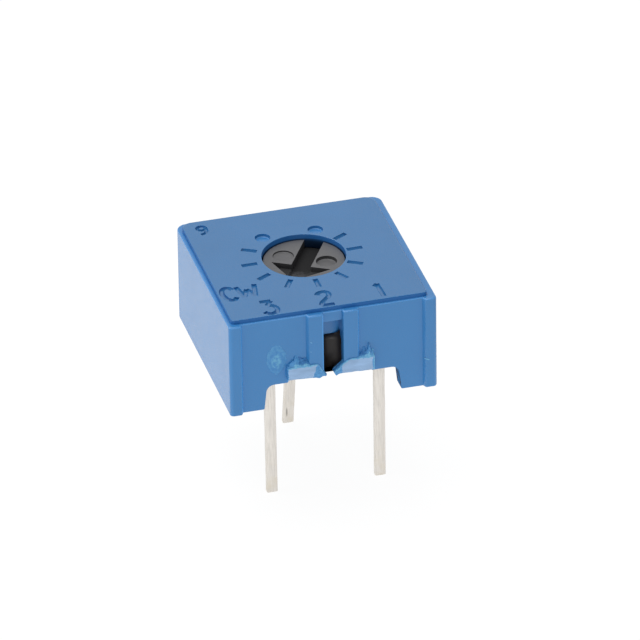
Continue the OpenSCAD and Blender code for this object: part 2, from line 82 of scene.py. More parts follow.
def amount(label, note, value):
    """Plain number property."""
    return bpy.props.FloatProperty(name=label, description=note, default=value)


class HousingSizes(bpy.types.PropertyGroup):
    """Sizes of the moulded housing."""
    width: length("Width", "Width across the front", (HIGH[0] - LOW[0]) / MM)
    depth: length("Depth", "Depth from front to back", 9.53)
    height: length("Height", "Height of the top face above the board", (HIGH[2] - LOW[2]) / MM)
    step: length("Step", "Height of the raised top face above its ledge", 0.18)
    ledge_front: length("Front ledge", "Width of the ledge at the front", 0.28)
    ledge_back: length("Back ledge", "Width of the ledge at the back", 0.25)
    ledge_left: length("Left ledge", "Width of the ledge on the left", 0.17)
    ledge_right: length("Right ledge", "Width of the ledge on the right", 0.36)
    front_corner: length("Front corner", "Radius of the front upright edges", 0.18)
    back_corner: length("Back corner", "Radius of the back upright edges", 0.5)
    edge: length("Edge rounding", "Rounding of every moulded edge", 0.06)
    wall: length("Wall", "Thickness of the side walls", 0.95)
    band: length("Band", "Width of the flat band at each front corner", 0.54)
    rib: length("Rib", "Width of each of the two middle ribs", 0.68)
    panel_depth: length("Panel depth", "Depth of the panels between bands and ribs", 0.2)
    panel_slope: length("Panel slope", "Sideways slope of each panel's edges", 0.09)
    groove: length("Groove", "Width of the groove between the ribs", 0.9)
    groove_depth: length("Groove depth", "Depth of the groove from the ribs", 0.85)
    groove_top: length("Groove top", "Height of the groove's upper end", 4.03)
    notch: length("Notch width", "Width of the stand-off notches", 6.1)
    notch_height: length("Notch height", "Height of the stand-off notches", 1.2)
    torn_rise: length("Torn edge", "Height of the wall's torn edge above the notch", 0.24)
    hole: length("Hole", "Diameter of the hole over the rotor", 3.78)
    dial: length("Dial offset", "Distance of the dial axis behind the middle", 0.2)


class MarkSizes(bpy.types.PropertyGroup):
    """Sizes of the sunk marks on the top face."""
    stroke: length("Stroke", "Half width of a sunk stroke", 0.125)
    small_stroke: length("Small stroke", "Half width of the strokes of the digit 9", 0.09)
    stroke_depth: length("Stroke depth", "Depth of the sunk strokes", 0.09)
    tick_start: length("Tick start", "Distance of a tick's inner end from the middle of the ring", 2.08)
    tick_end: length("Tick end", "Distance of a tick's outer end from the middle of the ring", 2.8)
    offset_x: length("Sideways offset", "Sideways offset of the ring from the dial axis", -0.1)
    offset_y: length("Depth offset", "Offset of the ring from the dial axis, negative towards the front", -0.07)
    turn: angle("Turn", "Turn of the ring of marks", 0.8)
    pitch: angle("Pitch", "Angle between neighbouring ticks", 30)
    dimple: length("Dimple", "Diameter of the two end dimples", 0.7)
    dimple_reach: length("Dimple reach", "Distance of the dimples from the middle of the ring", 2.46)
    depth: length("Depth", "Depth of the dimples", 0.14)


class RotorSizes(bpy.types.PropertyGroup):
    """Sizes of the slotted rotor."""
    neck: length("Neck", "Radius of the neck that shows in the hole", 1.83)
    face: length("Face", "Height of the face above the board", 4.5)
    underside: length("Underside", "Height of the flange's underside", 3.15)
    flange: length("Flange", "Radius of the flange", 2.75)
    flange_thick: length("Flange thickness", "Thickness of the flange", 0.6)
    slot: length("Slot", "Width of the screwdriver slot", 0.88)
    slot_depth: length("Slot depth", "Depth of the screwdriver slot", 0.41)
    arrow_base: length("Arrow base", "Distance of the arrowhead's base from the axis", 0.49)
    arrow_half: length("Arrow half width", "Half width of the arrowhead", 1.36)
    arrow_depth: length("Arrow depth", "Depth of the arrowhead", 0.24)
    grip: length("Grip dimple", "Diameter of the dimples beside the slot", 0.94)
    grip_side: length("Grip side", "Distance of those dimples from the slot's middle", 1.0)
    grip_back: length("Grip back", "Distance of those dimples behind the axis", 0.17)
    grip_left: length("Left grip depth", "Depth of the dimple left of the slot", 0.08)
    grip_right: length("Right grip depth", "Depth of the dimple right of the slot", 0.17)
    turn: angle("Turn", "Direction in which the arrow points", 240)
    edge: length("Edge rounding", "Rounding of the rotor's edges", 0.018)


class LeadSizes(bpy.types.PropertyGroup):
    """Sizes of the flat leads."""
    width: length("Width", "Width of a lead", 0.5)
    thick: length("Thickness", "Thickness of a lead", 0.25)
    edge: length("Edge rounding", "Rounding of the rolled edges", 0.035)
    tip: length("Tip bevel", "Bevel of the cut tip", 0.05)


class PottingSizes(bpy.types.PropertyGroup):
    """Sizes of the sealing epoxy."""
    underside: length("Underside", "Height of the epoxy's surface above the board", 1.25)
    top: length("Top", "Height of the substrate's underside", 1.93)
    creep: length("Creep", "Height that the epoxy creeps along walls and leads", 0.11)
    tongue_depth: length("Tongue depth", "Depth of the epoxy inside the groove", 0.5)
    tongue_top: length("Tongue top", "Height of the epoxy inside the groove", 3.05)
    hollow: length("Hollow", "Sag of the surface between the groove's walls", 0.16)


class Finishes(bpy.types.PropertyGroup):
    """Colours of the real materials, and of the painted shade in the marks and recesses."""
    housing: colour("Housing", "Moulded blue plastic", 54, 124, 184)
    # Painted shade: darker blue kept on the sunk marks' walls that face away from the light.
    marks: colour("Mark shade", "Shaded plastic in the sunk marks", 42, 108, 166)
    # Painted shade: deeper blue at the foot of the raised top and in the hole.
    recess_shade: colour("Recess", "Deep blue at the foot of the raised top and in the hole", 32, 94, 158)
    torn: colour("Torn face", "Pale flat face of a torn stub", 141, 174, 212)
    fringe: colour("Torn fringe", "Stretched plastic round a torn stub", 76, 146, 202)
    scar: colour("Whitened plastic", "Whitened plastic of the gate scar and of curled edges", 104, 172, 208)
    rotor: colour("Rotor", "Moulded dark grey plastic", 98, 98, 100)
    epoxy: colour("Epoxy", "Black sealing epoxy", 24, 19, 17)
    tin: colour("Tin", "Tinned surface of the leads", 224, 219, 212)
    tarnish: colour("Tarnish", "Warm tint near the cut tips", 214, 207, 194)


class StageSettings(bpy.types.PropertyGroup):
    """Camera and light."""
    azimuth: angle("Azimuth", "Camera direction about the upright axis", -14.898)
    elevation: angle("Elevation", "Camera height angle", 30.592)
    roll: angle("Roll", "Camera roll", -0.835)
    distance: length("Distance", "Distance from the aim point", 400)
    lens: amount("Lens", "Focal length on a 36 mm wide sensor", 502.31)
    aim_side: length("Aim sideways", "Sideways place of the aim point", 0.652)
    aim_height: length("Aim height", "Height of the aim point above the lead tips", 6.956)
    sky: amount("Sky", "Strength of the even light from all round", 0.42)
    key: amount("Key", "Power of the large soft lamp overhead", 0.46)
    side: amount("Side", "Power of the soft lamp on the left", 0.34)
    front: amount("Front", "Power of the low soft lamp in front", 0.22)


class TrimmerSettings(bpy.types.PropertyGroup):
    """Everything that a user would change."""
    housing: bpy.props.PointerProperty(type=HousingSizes)
    marks: bpy.props.PointerProperty(type=MarkSizes)
    rotor: bpy.props.PointerProperty(type=RotorSizes)
    lead: bpy.props.PointerProperty(type=LeadSizes)
    potting: bpy.props.PointerProperty(type=PottingSizes)
    finish: bpy.props.PointerProperty(type=Finishes)
    stage: bpy.props.PointerProperty(type=StageSettings)


# ---- Modelling helpers, all in millimetres above the seating plane ----

class Millimetres:
    """Reads a group's lengths as millimetres."""

    def __init__(self, group):
        self.group = group

    def __getattr__(self, name):
        return getattr(self.group, name) / MM


def pick(piece):
    """Leaves one object selected and active, in object mode."""
    if bpy.context.object and bpy.context.object.mode != "OBJECT":
        bpy.ops.object.mode_set(mode="OBJECT")
    bpy.ops.object.select_all(action="DESELECT")
    piece.select_set(True)
    bpy.context.view_layer.objects.active = piece


def start(name, material):
    """Names the object that an add operator has just made, freezes its place and paints it."""
    piece = bpy.context.object
    piece.name = name
    pick(piece)
    bpy.ops.object.transform_apply(location=True, rotation=True, scale=True)
    piece.data.materials.append(material)
    return piece


def block(name, material, x, y, z):
    """Box between pairs of limits."""
    bpy.ops.object.select_all(action="DESELECT")
    spans = (x, y, z)
    bpy.ops.mesh.primitive_cube_add(size=1, location=[(a + b) / 2 for a, b in spans], scale=[b - a for a, b in spans])
    return start(name, material)


def drum(name, material, radius, z, centre=(0, 0), sides=128):
    """Upright cylinder."""
    bpy.ops.object.select_all(action="DESELECT")
    bpy.ops.mesh.primitive_cylinder_add(vertices=sides, radius=radius, depth=z[1] - z[0],
                                        location=(centre[0], centre[1], (z[0] + z[1]) / 2))
    return start(name, material)


def prism(name, material, outline, span, along="Z"):
    """Flat outline, drawn in x and y or in x and z, extruded along the third axis."""
    bpy.ops.object.select_all(action="DESELECT")
    bpy.ops.mesh.primitive_circle_add(vertices=len(outline), radius=1, fill_type="NGON")
    piece = start(name, material)
    for vertex, (a, b) in zip(piece.data.vertices, outline):
        vertex.co = (a, b, span[0]) if along == "Z" else (a, span[0], b)
    rise = span[1] - span[0]
    bpy.ops.object.mode_set(mode="EDIT")
    bpy.ops.mesh.select_all(action="SELECT")
    move = (0, 0, rise) if along == "Z" else (0, rise, 0)
    bpy.ops.mesh.extrude_region_move(TRANSFORM_OT_translate={"value": move})
    bpy.ops.mesh.select_all(action="SELECT")
    bpy.ops.mesh.normals_make_consistent(inside=False)
    bpy.ops.object.mode_set(mode="OBJECT")
    return piece


def bevel_where(piece, wanted, width, segments=6):
    """Rounds the edges whose two ends pass a test."""
    pick(piece)
    bpy.ops.object.mode_set(mode="EDIT")
    bpy.ops.mesh.select_mode(type="EDGE")
    bpy.ops.mesh.select_all(action="DESELECT")
    bpy.ops.object.mode_set(mode="OBJECT")
    points = piece.data.vertices
    for edge in piece.data.edges:
        edge.select = wanted(points[edge.vertices[0]].co, points[edge.vertices[1]].co)
    bpy.ops.object.mode_set(mode="EDIT")
    bpy.ops.mesh.bevel(offset=width, offset_type="OFFSET", segments=segments, affect="EDGES")
    bpy.ops.object.mode_set(mode="OBJECT")


def upright(a, b):
    """True for an edge that runs along z."""
    return abs(a.x - b.x) < 1e-4 and abs(a.y - b.y) < 1e-4


def merge(piece, tool, operation, self_crossing=False):
    """Adds, cuts or keeps the overlap of a second solid, which is used up."""
    pick(piece)
    bpy.ops.object.modifier_add(type="BOOLEAN")
    step = piece.modifiers[-1]
    step.operation = operation
    step.object = tool
    step.solver = "EXACT"
    step.use_self = self_crossing
    step.material_mode = "TRANSFER"
    bpy.ops.object.modifier_apply(modifier=step.name)
    bpy.data.objects.remove(tool)


def round_edges(piece, width, segments=2, limit=35):
    """Rounds every outer edge sharper than a limit in degrees."""
    pick(piece)
    bpy.ops.object.mode_set(mode="EDIT")
    bpy.ops.mesh.select_mode(type="EDGE")
    bpy.ops.mesh.select_all(action="DESELECT")
    bpy.ops.mesh.edges_select_sharp(sharpness=math.radians(limit))
    bpy.ops.object.mode_set(mode="OBJECT")
    mesh = piece.data
    facing = {}
    for face in mesh.polygons:
        corners = list(face.vertices)
        for pair in zip(corners, corners[1:] + corners[:1]):
            facing[pair] = face.normal.copy()
    weights = mesh.attributes.new("bevel_weight_edge", "FLOAT", "EDGE").data
    for edge, weight in zip(mesh.edges, weights):
        a, b = edge.vertices
        run = mesh.vertices[b].co - mesh.vertices[a].co
        one, other = facing.get((a, b)), facing.get((b, a))
        outer = one and other and one.cross(other).dot(run) > 0
        weight.value = 1.0 if edge.select and outer else 0.0
    bpy.ops.object.modifier_add(type="BEVEL")
    step = piece.modifiers[-1]
    step.width = width
    step.segments = segments
    step.limit_method = "WEIGHT"
    step.use_clamp_overlap = False
    bpy.ops.object.modifier_apply(modifier=step.name)


def smooth_path(points, steps=6):
    """Points on a smooth curve through the given ones."""
    ends = [points[0]] + list(points) + [points[-1]]
    path = []
    for a, b, c, d in zip(ends, ends[1:], ends[2:], ends[3:]):
        for i in range(steps):
            t = i / steps
            path.append(tuple(0.5 * (2 * q + (r - p) * t + (2 * p - 5 * q + 4 * r - s) * t * t
                                     + (3 * q - p - 3 * r + s) * t ** 3) for p, q, r, s in zip(a, b, c, d)))
    return path + [tuple(points[-1])]


def sweep(name, material, points, radius, resolution=3):
    """Round rod along a path of points."""
    bpy.ops.object.select_all(action="DESELECT")
    bpy.ops.curve.primitive_bezier_curve_add()
    rod = bpy.context.object
    rod.data.splines.clear()
    spline = rod.data.splines.new("POLY")
    spline.points.add(len(points) - 1)
    for place, point in zip(spline.points, points):
        place.co = (*point, 1)
    rod.data.dimensions = "3D"
    rod.data.bevel_depth = radius
    rod.data.bevel_resolution = resolution
    rod.data.use_fill_caps = True
    pick(rod)
    bpy.ops.object.convert(target="MESH")
    bpy.context.object.data.materials.clear()
    rod = start(name, material)
    bpy.ops.object.mode_set(mode="EDIT")
    bpy.ops.mesh.select_all(action="SELECT")
    bpy.ops.mesh.remove_doubles(threshold=1e-4)
    bpy.ops.mesh.normals_make_consistent(inside=False)
    bpy.ops.object.mode_set(mode="OBJECT")
    return rod


def sheet_solid(name, material, corners, cuts, back, layers):
    """Gridded face between four corners at the front, extruded back in layers."""
    bpy.ops.object.select_all(action="DESELECT")
    bpy.ops.mesh.primitive_grid_add(x_subdivisions=cuts[0], y_subdivisions=cuts[1], size=2)
    piece = start(name, material)
    low_left, low_right, high_right, high_left = [Vector(c) for c in corners]
    for vertex in piece.data.vertices:
        u, v = (vertex.co.x + 1) / 2, (vertex.co.y + 1) / 2
        vertex.co = low_left.lerp(low_right, u).lerp(high_left.lerp(high_right, u), v)
    bpy.ops.object.mode_set(mode="EDIT")
    bpy.ops.mesh.select_all(action="SELECT")
    for _ in range(layers):
        bpy.ops.mesh.extrude_region_move(TRANSFORM_OT_translate={"value": [d / layers for d in back]})
    bpy.ops.mesh.select_all(action="SELECT")
    bpy.ops.mesh.normals_make_consistent(inside=False)
    bpy.ops.object.mode_set(mode="OBJECT")
    return piece


def join_onto(piece, others):
    """Makes several meshes part of one piece."""
    pick(piece)
    for other in others:
        other.select_set(True)
    bpy.ops.object.join()


def along(row, x):
    """Value at x on a line through rows of (x, value)."""
    for (x0, a), (x1, b) in zip(row, row[1:]):
        if x <= x1:
            return a + (b - a) * max(0, x - x0) / (x1 - x0)
    return row[-1][1]


def place_piece(piece, name, body, nodes, limit=32):
    """Brings a finished piece to metres at its place, smooths its normals and ties it to the frame."""
    piece.name = name
    piece.data.name = name
    pick(piece)
    piece.scale = (MM, MM, MM)
    piece.location = (0, 0, SEAT)
    bpy.ops.object.transform_apply(location=True, rotation=True, scale=True)
    bpy.ops.object.shade_smooth_by_angle(angle=math.radians(limit))
    for face in piece.data.polygons:
        if abs(face.normal.z) > 0.9999:
            face.use_smooth = False
    bpy.ops.object.modifier_add(type="WEIGHTED_NORMAL")
    piece.modifiers[-1].keep_sharp = True
    bpy.ops.object.modifier_apply(modifier=piece.modifiers[-1].name)
    corners = [piece.matrix_world @ vertex.co for vertex in piece.data.vertices]
    for axis in range(3):
        reach = (min(c[axis] for c in corners), max(c[axis] for c in corners))
        for got, wanted in zip(reach, (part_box(nodes[0])[0][axis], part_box(nodes[0])[1][axis])):
            if abs(got - wanted) > 0.3 * MM:
                raise RuntimeError(f"{name} doesn't fill the space of {nodes[0]}")
    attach(piece, body)
    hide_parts(*nodes)


# ---- Materials ----

class Finish:
    """Node material on Object coordinates, built up step by step."""

    def __init__(self, name, roughness=0.5, metallic=0.0):
        self.material = bpy.data.materials.get(name) or bpy.data.materials.new(name)
        self.material.use_nodes = True
        self.tree = self.material.node_tree
        self.tree.nodes.clear()
        self.surface = self.add("ShaderNodeBsdfPrincipled")
        self.surface.inputs["Roughness"].default_value = roughness
        self.surface.inputs["Metallic"].default_value = metallic
        output = self.add("ShaderNodeOutputMaterial")
        self.link(self.surface.outputs[0], output.inputs["Surface"])
        self.place = self.add("ShaderNodeTexCoord").outputs["Object"]

    def add(self, kind, **settings):
        node = self.tree.nodes.new(kind)
        for key, value in settings.items():
            setattr(node, key, value)
        return node

    def link(self, source, target):
        self.tree.links.new(source, target)

    def mapped(self, centre=(0, 0, 0), stretch=(1, 1, 1)):
        """Object coordinates measured from a centre and stretched."""
        node = self.add("ShaderNodeMapping")
        node.inputs["Location"].default_value = [-c * s for c, s in zip(centre, stretch)]
        node.inputs["Scale"].default_value = stretch
        self.link(self.place, node.inputs["Vector"])
        return node.outputs[0]

    def speckle(self, size_mm, detail=3.0, roughness=0.5, place=None):
        """Noise whose features have about the given size."""
        node = self.add("ShaderNodeTexNoise")
        node.inputs["Scale"].default_value = 1 / (size_mm * MM)
        node.inputs["Detail"].default_value = detail
        node.inputs["Roughness"].default_value = roughness
        self.link(place or self.place, node.inputs["Vector"])
        return node.outputs["Fac"]

    def ramp(self, factor, stops):
        """Colours at places from 0 to 1."""
        node = self.add("ShaderNodeValToRGB")
        elements = node.color_ramp.elements
        while len(elements) < len(stops):
            elements.new(0.5)
        for element, (at, shade) in zip(elements, stops):
            element.position = at
            element.color = (*shade, 1)
        self.link(factor, node.inputs["Fac"])
        return node.outputs["Color"]

    def level(self, factor, low, high, dark, bright):
        """Number that goes from dark to bright as the factor goes from low to high."""
        node = self.add("ShaderNodeMapRange")
        for key, value in zip(("From Min", "From Max", "To Min", "To Max"), (low, high, dark, bright)):
            node.inputs[key].default_value = value
        self.link(factor, node.inputs["Value"])
        return node.outputs["Result"]

    def mix(self, factor, first, second):
        """Blend of two colours by a factor."""
        node = self.add("ShaderNodeMix", data_type="RGBA")
        self.link(factor, node.inputs["Factor"])
        for key, value in zip((6, 7), (first, second)):
            if isinstance(value, (tuple, list)):
                node.inputs[key].default_value = (*value, 1)
            else:
                self.link(value, node.inputs[key])
        return node.outputs[2]

    def colour(self, source):
        self.link(source, self.surface.inputs["Base Color"])

    def gloss(self, source):
        self.link(source, self.surface.inputs["Roughness"])

    def relief(self, *layers):
        """Bump from pairs of height source and depth in millimetres."""
        normal = None
        for source, depth in layers:
            node = self.add("ShaderNodeBump")
            node.inputs["Strength"].default_value = 1
            node.inputs["Distance"].default_value = depth * MM
            self.link(source, node.inputs["Height"])
            if normal:
                self.link(normal, node.inputs["Normal"])
            normal = node.outputs[0]
        self.link(normal, self.surface.inputs["Normal"])


def shade(colour_value, factor):
    """The same colour, lighter or darker."""
    return tuple(min(1, c * factor) for c in colour_value)


def moulded(name, base, roughness, grain, patch=0.03, sheen=0.5):
    """Moulded plastic: even colour with faint flow patches, fine grain and slightly uneven gloss."""
    finish = Finish(name, roughness)
    finish.surface.inputs["IOR"].default_value = 1.55
    finish.surface.inputs["Specular IOR Level"].default_value = sheen
    flow = finish.speckle(2.6, 4, 0.55)
    finish.colour(finish.ramp(flow, [(0.3, shade(base, 1 - patch)), (0.7, shade(base, 1 + patch))]))
    finish.gloss(finish.level(finish.speckle(0.35, 3), 0.3, 0.7, roughness - 0.03, roughness + 0.04))
    finish.relief((finish.speckle(0.9, 3), 0.004), (finish.speckle(0.07, 2), grain))
    return finish.material


def painted_recess_shade(name, base, deep):
    """Painted shade on an upright wall below the top face: moulded blue at its upper edge, deeper blue towards its
    foot, near black lower down.
    """
    finish = Finish(name, 0.45)
    finish.surface.inputs["Specular IOR Level"].default_value = 0.2
    height = finish.add("ShaderNodeSeparateXYZ")
    finish.link(finish.place, height.inputs[0])
    fade = finish.level(height.outputs["Z"], HIGH[2] - 0.4 * MM, HIGH[2], 0, 1)
    finish.colour(finish.ramp(fade, [(0.1, shade(deep, 0.12)), (0.4, shade(deep, 0.4)), (0.5, deep), (0.96, deep), (1, base)]))
    finish.relief((finish.speckle(0.07, 2), 0.003))
    return finish.material


def slot_shade_and_light(name, base, painted_light_grey, turn, dial):
    """Sunk parts of the rotor: painted shade in near black, with painted light as lighter grey speckle towards the
    slot's front end.
    """
    finish = Finish(name, 0.8)
    finish.surface.inputs["Specular IOR Level"].default_value = 0.2
    reach = finish.add("ShaderNodeVectorMath", operation="DOT_PRODUCT")
    finish.link(finish.mapped((0, dial * MM, 0)), reach.inputs[0])
    reach.inputs[1].default_value = (math.cos(turn), math.sin(turn), 0)
    grit = finish.speckle(0.12, 4, 0.65)
    spread = finish.add("ShaderNodeMath", operation="MULTIPLY_ADD")
    finish.link(grit, spread.inputs[0])
    spread.inputs[1].default_value = 0.8 * MM
    finish.link(reach.outputs["Value"], spread.inputs[2])
    finish.colour(finish.mix(finish.level(spread.outputs[0], 0.7 * MM, 1.5 * MM, 0, 1), base, painted_light_grey))
    finish.relief((grit, 0.01))
    return finish.material


def torn(name, pale, deep, roughness, relief, size_mm=0.16, stretch=(1, 1, 2)):
    """Torn plastic: stretched fibres, pale where the material whitened."""
    finish = Finish(name, roughness)
    fibres = finish.speckle(size_mm, 3, 0.55, finish.mapped(stretch=stretch))
    finish.colour(finish.ramp(fibres, [(0.34, deep), (0.54, pale), (0.74, shade(pale, 1.15))]))
    finish.relief((fibres, relief))
    return finish.material


def brown_mottled(name, base, dark_brown):
    """Moulded plastic blended with dark brown in a noisy pattern."""
    finish = Finish(name, 0.8)
    finish.surface.inputs["Specular IOR Level"].default_value = 0.05
    finish.colour(finish.mix(finish.level(finish.speckle(0.22, 4, 0.6), 0.42, 0.58, 0.1, 0.85), base, dark_brown))
    finish.relief((finish.speckle(0.07, 3), 0.01))
    return finish.material


def gate_scar(name, base, pale):
    """Mould gate scar: whitened blotches in the middle and a faint uneven outline."""
    finish = Finish(name, 0.5)
    x, z, half_width, half_height = SCAR
    place = finish.mapped((x * MM, 0, SEAT + (z - 0.06) * MM), (1 / (half_width * MM), 0, 1 / (half_height * MM)))
    reach = finish.add("ShaderNodeVectorMath", operation="LENGTH")
    finish.link(place, reach.inputs[0])
    wobble = finish.add("ShaderNodeMath", operation="MULTIPLY_ADD")
    finish.link(finish.speckle(0.3, 3, 0.6), wobble.inputs[0])
    wobble.inputs[1].default_value = 0.5
    finish.link(reach.outputs["Value"], wobble.inputs[2])
    zone = finish.ramp(wobble.outputs[0], [(0.4, (0.75, 0.75, 0.75)), (0.72, (0.6, 0.6, 0.6)), (0.86, (0.1, 0.1, 0.1)),
                                           (0.95, (0.1, 0.1, 0.1)), (1.0, (0.3, 0.3, 0.3))])
    blotch = finish.add("ShaderNodeMath", operation="MULTIPLY")
    finish.link(finish.level(finish.speckle(0.13, 4, 0.6), 0.42, 0.58, 0.15, 1.1), blotch.inputs[0])
    finish.link(zone, blotch.inputs[1])
    finish.colour(finish.mix(blotch.outputs[0], shade(base, 1.05), pale))
    finish.relief((finish.speckle(0.1, 5, 0.7), 0.02))
    return finish.material


def tinned(name, base, warm):
    """Tinned strip: drawn streaks, soft mottling, a warm tint near the cut tip and one dark scratch."""
    finish = Finish(name, 0.4, 0.75)
    streak = finish.speckle(0.05, 4, 0.6, finish.mapped(stretch=(1, 1, 0.06)))
    mottle = finish.speckle(0.5, 5, 0.6)
    clean = finish.ramp(streak, [(0.3, shade(base, 0.82)), (0.55, base), (0.75, shade(base, 1.06))])
    height = finish.add("ShaderNodeSeparateXYZ")
    finish.link(finish.place, height.inputs[0])
    near_tip = finish.level(height.outputs["Z"], 2.0 * MM, 0.5 * MM, 0, 1)
    tint = finish.add("ShaderNodeMath", operation="MULTIPLY")
    finish.link(near_tip, tint.inputs[0])
    finish.link(finish.level(mottle, 0.4, 0.62, 0, 0.9), tint.inputs[1])
    x, y, z = LEAD_MARK
    reach = finish.add("ShaderNodeVectorMath", operation="LENGTH")
    finish.link(finish.mapped((x * MM, y * MM, z * MM), (1 / (0.035 * MM), 0.2 / MM, 1 / (0.27 * MM))), reach.inputs[0])
    mark = finish.level(reach.outputs["Value"], 0.6, 1.1, 0.75, 0)
    finish.colour(finish.mix(mark, finish.mix(tint.outputs[0], clean, warm), shade(base, 0.2)))
    finish.gloss(finish.level(mottle, 0.3, 0.7, 0.3, 0.5))
    finish.relief((mottle, 0.012), (streak, 0.003))
    return finish.material


def epoxy(name, base):
    """Black epoxy with a dull skin and dust-fine unevenness."""
    finish = Finish(name, 0.42)
    finish.surface.inputs["Specular IOR Level"].default_value = 0.4
    cloud = finish.speckle(0.8, 4)
    finish.colour(finish.ramp(cloud, [(0.3, shade(base, 0.7)), (0.7, shade(base, 1.5))]))
    finish.gloss(finish.level(cloud, 0.3, 0.7, 0.34, 0.5))
    finish.relief((finish.speckle(0.5, 3), 0.02))
    return finish.material


def fired(name, base, roughness, grain, size_mm, metallic=0.0):
    """Fired or cast surface: fine speckle in colour, gloss and relief."""
    finish = Finish(name, roughness, metallic)
    speck = finish.speckle(size_mm, 4, 0.6)
    finish.colour(finish.ramp(speck, [(0.3, shade(base, 0.85)), (0.7, shade(base, 1.12))]))
    finish.gloss(finish.level(speck, 0.3, 0.7, max(roughness - 0.06, 0.05), roughness + 0.08))
    finish.relief((speck, grain))
    return finish.material


def finishes():
    """Makes every material once and returns them by name."""
    trimmer = bpy.context.scene.trimmer
    paint, turn, dial = trimmer.finish, trimmer.rotor.turn, trimmer.housing.dial / MM
    made = {
        "housing": moulded("housing_plastic", tuple(paint.housing), 0.22, 0.006),
        # Painted shade for the walls of the sunk marks.
        "marks": moulded("sunk_mark_painted_shade", tuple(paint.marks), 0.6, 0.003, sheen=0.15),
        "recess_shade": painted_recess_shade("recess_wall_painted_shade", tuple(paint.housing), tuple(paint.recess_shade)),
        "torn": torn("torn_face_plastic", tuple(paint.torn), shade(paint.torn, 0.82), 0.5, 0.012, 0.5, (0.5, 1, 1.6)),
        "fringe": torn("torn_fringe_plastic", tuple(paint.fringe), shade(paint.housing, 1.0), 0.45, 0.03),
        "curl": torn("curled_edge_plastic", tuple(paint.scar), tuple(paint.fringe), 0.45, 0.02),
        # Painted shadow in the hollow of a torn roof beside the rib.
        "roof_shadow": torn("torn_roof_painted_shadow", tuple(paint.housing), tuple(paint.recess_shade), 0.6, 0.03),
        "scar": gate_scar("gate_scar_plastic", tuple(paint.housing), tuple(paint.scar)),
        # Painted highlight on the ledge's upward faces.
        "ledge_highlight": moulded("ledge_painted_highlight", shade(paint.housing, 1.3), 0.3, 0.006),
        # Painted highlight on the front panels' edges that face right.
        "lit": moulded("edge_painted_highlight", shade(paint.housing, 1.5), 0.4, 0.006),
        "brown_mottled": brown_mottled("brown_mottled_plastic", tuple(paint.housing), (0.05, 0.035, 0.025)),
        "rotor": moulded("rotor_plastic", tuple(paint.rotor), 0.5, 0.006, 0.1),
        # Painted shade: near-black grey in the arrowhead and on the grip dimples' walls.
        "rotor_sunk_shade": moulded("rotor_sunk_painted_shade", shade(paint.rotor, 0.3), 0.8, 0.012, 0.25, 0.2),
        # Painted shade in the slot, with painted light towards its front end.
        "slot": slot_shade_and_light("slot_painted_shade_and_light", shade(paint.rotor, 0.17), shade(paint.rotor, 1.15), turn, dial),
        "potting": epoxy("potting_epoxy", tuple(paint.epoxy)),
        "lead": tinned("tinned_lead", tuple(paint.tin), tuple(paint.tarnish)),
    }
    return made


# ---- Operators ----

